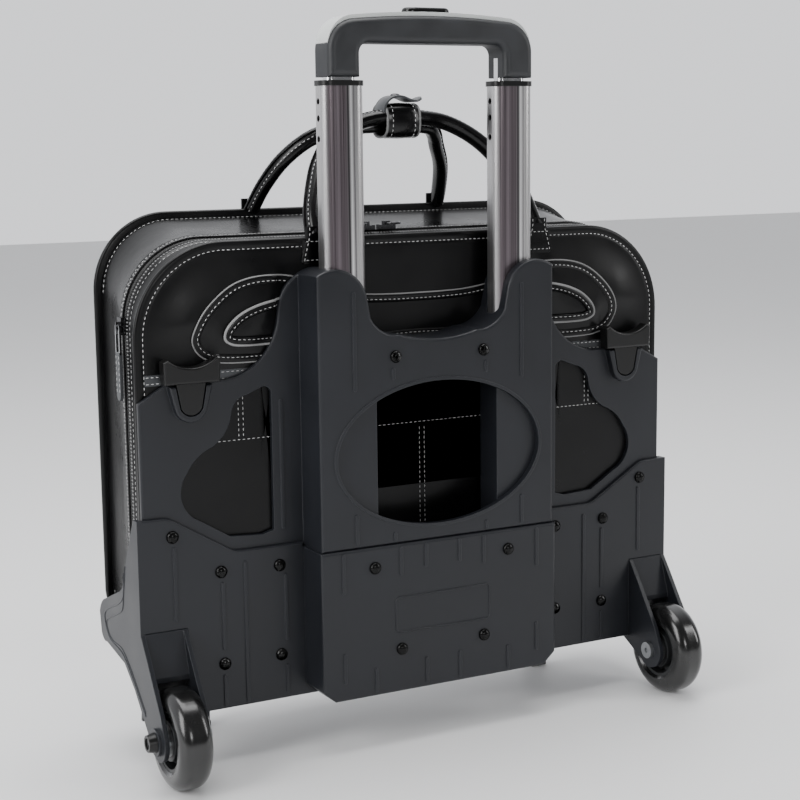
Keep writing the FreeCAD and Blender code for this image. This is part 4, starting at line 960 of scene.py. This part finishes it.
def handleWrap():
    # a padded sleeve closed round both loops, piped at its ends, with a snap tab over the top
    lowX, highX = wrapLow.x + wrap["startIn"], wrapHigh.x - wrap["stopIn"]
    centreZ = (wrapLow.z + wrapHigh.z) / 2 + wrap["lift"]

    def oval(x, grow):
        made = []
        for step in range(32):
            angle = 2 * math.pi * step / 32
            across, rise = (math.copysign(abs(part) ** wrap["square"], part)
                            for part in (math.cos(angle), math.sin(angle)))
            half = wrap["half"] + grow
            made.append(Vector((x, middleY + half * across, centreZ + half * rise)))
        return made

    bm = bmesh.new()
    rows = [(lowX + 1.2 * mm, -2.4), (lowX, -1.6), (lowX, -0.5), (lowX + 0.8 * mm, 0.0),
            (mix(lowX, highX, 0.3), 0.5), (mix(lowX, highX, 0.5), 0.7),
            (mix(lowX, highX, 0.7), 0.5), (highX - 0.8 * mm, 0.0), (highX, -0.5), (highX, -1.6),
            (highX - 1.2 * mm, -2.4)]
    skinLoops(bm, [addLoop(bm, oval(x, grow * mm)) for x, grow in rows], True)
    sleeve = makePiece("handleWrap", bm, finishes["black_leather"], "black_leather", "handle_wrap",
                       sharp=60)
    bm = bmesh.new()
    for x in (lowX, highX):
        sweep(bm, oval(x, -0.6 * mm), roundSection(wrap["pipe"], wrap["pipe"], 8), (1, 0, 0), True)
    # the piping's pale grey is a painted highlight on the raised edge
    makePiece("wrapPiping", bm, paintedPipingHighlight, "grey_leather", sharp=60)
    bm = bmesh.new()
    for x in (lowX + wrap["seamIn"], highX - wrap["seamIn"]):
        line = oval(x, 0.25 * mm)
        sewLine(bm, line, lambda p: (p - Vector((p.x, middleY, centreZ))).normalized(), True)
    sewnPiece("wrapStitches", bm)
    bm = bmesh.new()
    spine = [(-2, -6.5), (-1, -1.5), (3, 3.2), (9, 5.2), (15, 4.6), (21, 2.4), (26, 1.9), (32, 4.4)]
    tab = [Vector((lowX + x * mm, middleY - 3 * mm, centreZ + wrap["half"] + z * mm))
           for x, z in smoothLine([Vector(p) for p in spine], False, 3)]

    def tabSection(share):
        half = wrap["tabHalf"] * min(1, math.sqrt(max(0.02, 1 - max(0, share - 0.8) ** 2 * 22)))
        return strapSection(half, 0.5 * mm, 0.9 * mm, 0.9 * mm)

    sweep(bm, tab, tabSection, (0, 0, 1))
    makePiece("wrapTab", bm, finishes["grey_leather"], "grey_leather")
    bm = bmesh.new()
    place = Matrix.Translation(tab[10] + Vector((0, 0, 1.0 * mm)))
    flat = Matrix.Diagonal([part * mm for part in wrap["snap"]] + [1])
    bmesh.ops.create_uvsphere(bm, u_segments=20, v_segments=10, radius=1.0, matrix=place @ flat)
    makePiece("wrapSnap", bm, finishes["dark_nickel"], "dark_nickel", sharp=80)


handleWrap()


def baseTabs():
    # small sewn reinforcements where the loops leave the panels
    bm = bmesh.new()
    for node, surface, outward, height in (("carry_handle_rear", onRear, -1, rearHigh.z),
                                           ("carry_handle_front", onFront, 1, frontHigh.z)):
        low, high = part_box(node)
        for x in (low.x + 6 * mm, high.x - 6 * mm):
            points = [Vector((x, surface(x, z).y, z)) for z in
                      [height - 15 * mm + k * 1.4 * mm for k in range(10)]]
            sweep(bm, points, strapSection(11 * mm, 0.4 * mm, 0.8 * mm), (0, outward, 0))
    makePiece("handleBaseTabs", bm, finishes["black_leather"], "black_leather", "handle_tabs")


baseTabs()
print("handles made")


# inside the bag: a padded laptop sleeve and an organiser panel

def padPiece(name, node):
    low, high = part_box(node)
    bm = bmesh.new()
    bmesh.ops.create_cube(bm, size=1.0)
    bmesh.ops.subdivide_edges(bm, edges=bm.edges, cuts=9, use_grid_fill=True)
    centre, size = (low + high) / 2, high - low
    for vert in bm.verts:
        x, y, z = vert.co * 2
        swell = (1 - x * x) * (1 - z * z)
        pull = 1 - 0.03 * (1 - abs(y)) - 0.02 * abs(x * z)
        vert.co = centre + Vector((x * size.x / 2 * pull, y * size.y / 2 * (0.55 + 0.45 * swell),
                                   z * size.z / 2 * pull))
    bmesh.ops.bevel(bm, geom=[edge for edge in bm.edges if edge.calc_face_angle(0) > 1.0],
                    affect="EDGES", offset=1.2 * mm, segments=2, profile=0.5, material=-1)
    piece = makePiece(name, bm, finishes["lining_fabric"], "lining_fabric", node, sharp=60)
    return piece


padPiece("laptopSleevePad", "laptop_sleeve")
padPiece("organiserPad", "organiser_panel")


# side pull: a leather tab sewn round the foot of the chrome link

pullTab = {"half": 4.0 * mm, "thick": 1.1 * mm, "over": 1.5 * mm, "seamOut": 2.7 * mm}


def sidePull():
    low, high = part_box("side_pull_tab")
    half, thick = pullTab["half"], pullTab["thick"]
    centre = (low + high) / 2
    bm = bmesh.new()
    points = [Vector((centre.x, centre.y, mix(high.z + pullTab["over"], low.z, k / 20)))
              for k in range(21)]

    def section(share):
        wide = half * math.sqrt(max(0.05, 1 - max(0, share - 0.88) ** 2 * 60))
        return [(-wide, -thick), (wide, -thick), (wide + 0.1 * mm, 0), (wide, thick),
                (-wide, thick), (-wide - 0.1 * mm, 0)]

    sweep(bm, points, section, (-1, 0, 0))
    makePiece("sidePullTab", bm, finishes["grey_leather"], "grey_leather", "side_pull_tab",
              body="side_pull")
    bm = bmesh.new()
    for edge in (-1, 1):
        row = [point + Vector((-thick, edge * pullTab["seamOut"], 0)) for point in points[1:-3]]
        sewLine(bm, row, (-1, 0, 0))
    sewnPiece("sidePullStitches", bm, "grey_leather", body="side_pull")


sidePull()


# frame details: contour ridges on the shroud's flanks and a plain raised field on the lower cover

ridges = {"flank": 221.2 * mm, "insets": (7.5, 13.5), "wide": 0.6 * mm, "high": 0.45 * mm}


def flankRidges():
    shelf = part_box("rear_panel")[0].z / mm - 0.4
    bm = bmesh.new()
    for inset in ridges["insets"]:
        line = [(20.6 + inset * 0.6, 151.8 - inset), (29 + inset * 0.2, shelf + 49 - inset * 1.3),
                (42, shelf + 38.6 - inset * 1.15), (71 - inset * 0.2, shelf + 27 - inset * 1.1),
                (80 - inset, shelf + 17 - inset), (70 - inset, shelf - 1),
                (36, shelf - 9 + inset * 0.5), (16, 62 + inset * 0.5), (-8, 43 + inset * 0.4)]
        smooth = smoothLine([Vector(p) for p in line], False, 8)
        for sign in (-1, 1):
            points = [Vector((sign * ridges["flank"], panelBack + p.x * mm, p.y * mm))
                      for p in smooth]
            sweep(bm, points, roundSection(ridges["wide"], ridges["high"], 8), (sign, 0, 0))
    makePiece("flankRidges", bm, finishes["frame_plastic"], "frame_plastic", sharp=60)


def coverField():
    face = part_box("lower_cover")[0].y
    bm = bmesh.new()
    line = [Vector(p) for p in ((-37, 84), (37, 84), (39, 86), (39, 108), (37, 110), (-37, 110),
                                (-39, 108), (-39, 86))]
    points = [Vector((p.x * mm, face + 0.85 * mm, p.y * mm)) for p in line]
    sweep(bm, points, roundSection(0.8 * mm, 0.6 * mm, 8), (0, -1, 0), True)
    makePiece("coverField", bm, finishes["frame_plastic"], "frame_plastic", sharp=60)


dome = {"across": 4.5 * mm, "deep": 3.1 * mm, "back": 1.9 * mm, "head": 2.3 * mm}


def looseParts(shape):
    # the corners of each separate solid in a mesh
    seen = set()
    for first in shape.verts:
        if first in seen:
            continue
        seen.add(first)
        reached, part = [first], []
        while reached:
            vert = reached.pop()
            part.append(vert.co.copy())
            near = [edge.other_vert(vert) for edge in vert.link_edges]
            near = [other for other in near if other not in seen]
            seen.update(near)
            reached += near
        yield part


def screwDomes():
    # a polished dome over each flat screw head
    for node in ("skirt_screws", "cover_screws", "column_screws"):
        shape = bmesh.new()
        shape.from_mesh(nodes[node].data)
        bm = bmesh.new()
        for part in looseParts(shape):
            spots = [nodes[node].matrix_world @ place for place in part]
            back = min(spot.y for spot in spots)
            heads = [spot for spot in spots if spot.y < back + dome["head"]]
            x = (min(spot.x for spot in heads) + max(spot.x for spot in heads)) / 2
            z = (min(spot.z for spot in heads) + max(spot.z for spot in heads)) / 2
            flat = Matrix.Diagonal((dome["across"], dome["deep"], dome["across"], 1))
            place = Matrix.Translation((x, back + dome["back"], z))
            bmesh.ops.create_uvsphere(bm, u_segments=18, v_segments=12, radius=1.0,
                                      matrix=place @ flat)
        shape.free()
        makePiece(node.replace("_screws", "") + "ScrewDomes", bm, finishes["black_gloss"],
                  "black_gloss", turn=False, sharp=60)


flankRidges()
coverField()
screwDomes()
print("frame details made")


# floor

def layFloor():
    bm = bmesh.new()
    bmesh.ops.create_grid(bm, x_segments=1, y_segments=1, size=6)
    mesh = bpy.data.meshes.new("floor")
    bm.to_mesh(mesh)
    bm.free()
    floor = bpy.data.objects.new("floor", mesh)
    scene.collection.objects.link(floor)
    paint = Finish("paleFloor")
    mesh.materials.append(paint.wear(grey(0.86), paint.spread(paint.noise(3, 2), 0, 1, 0.5, 0.6)))


layFloor()
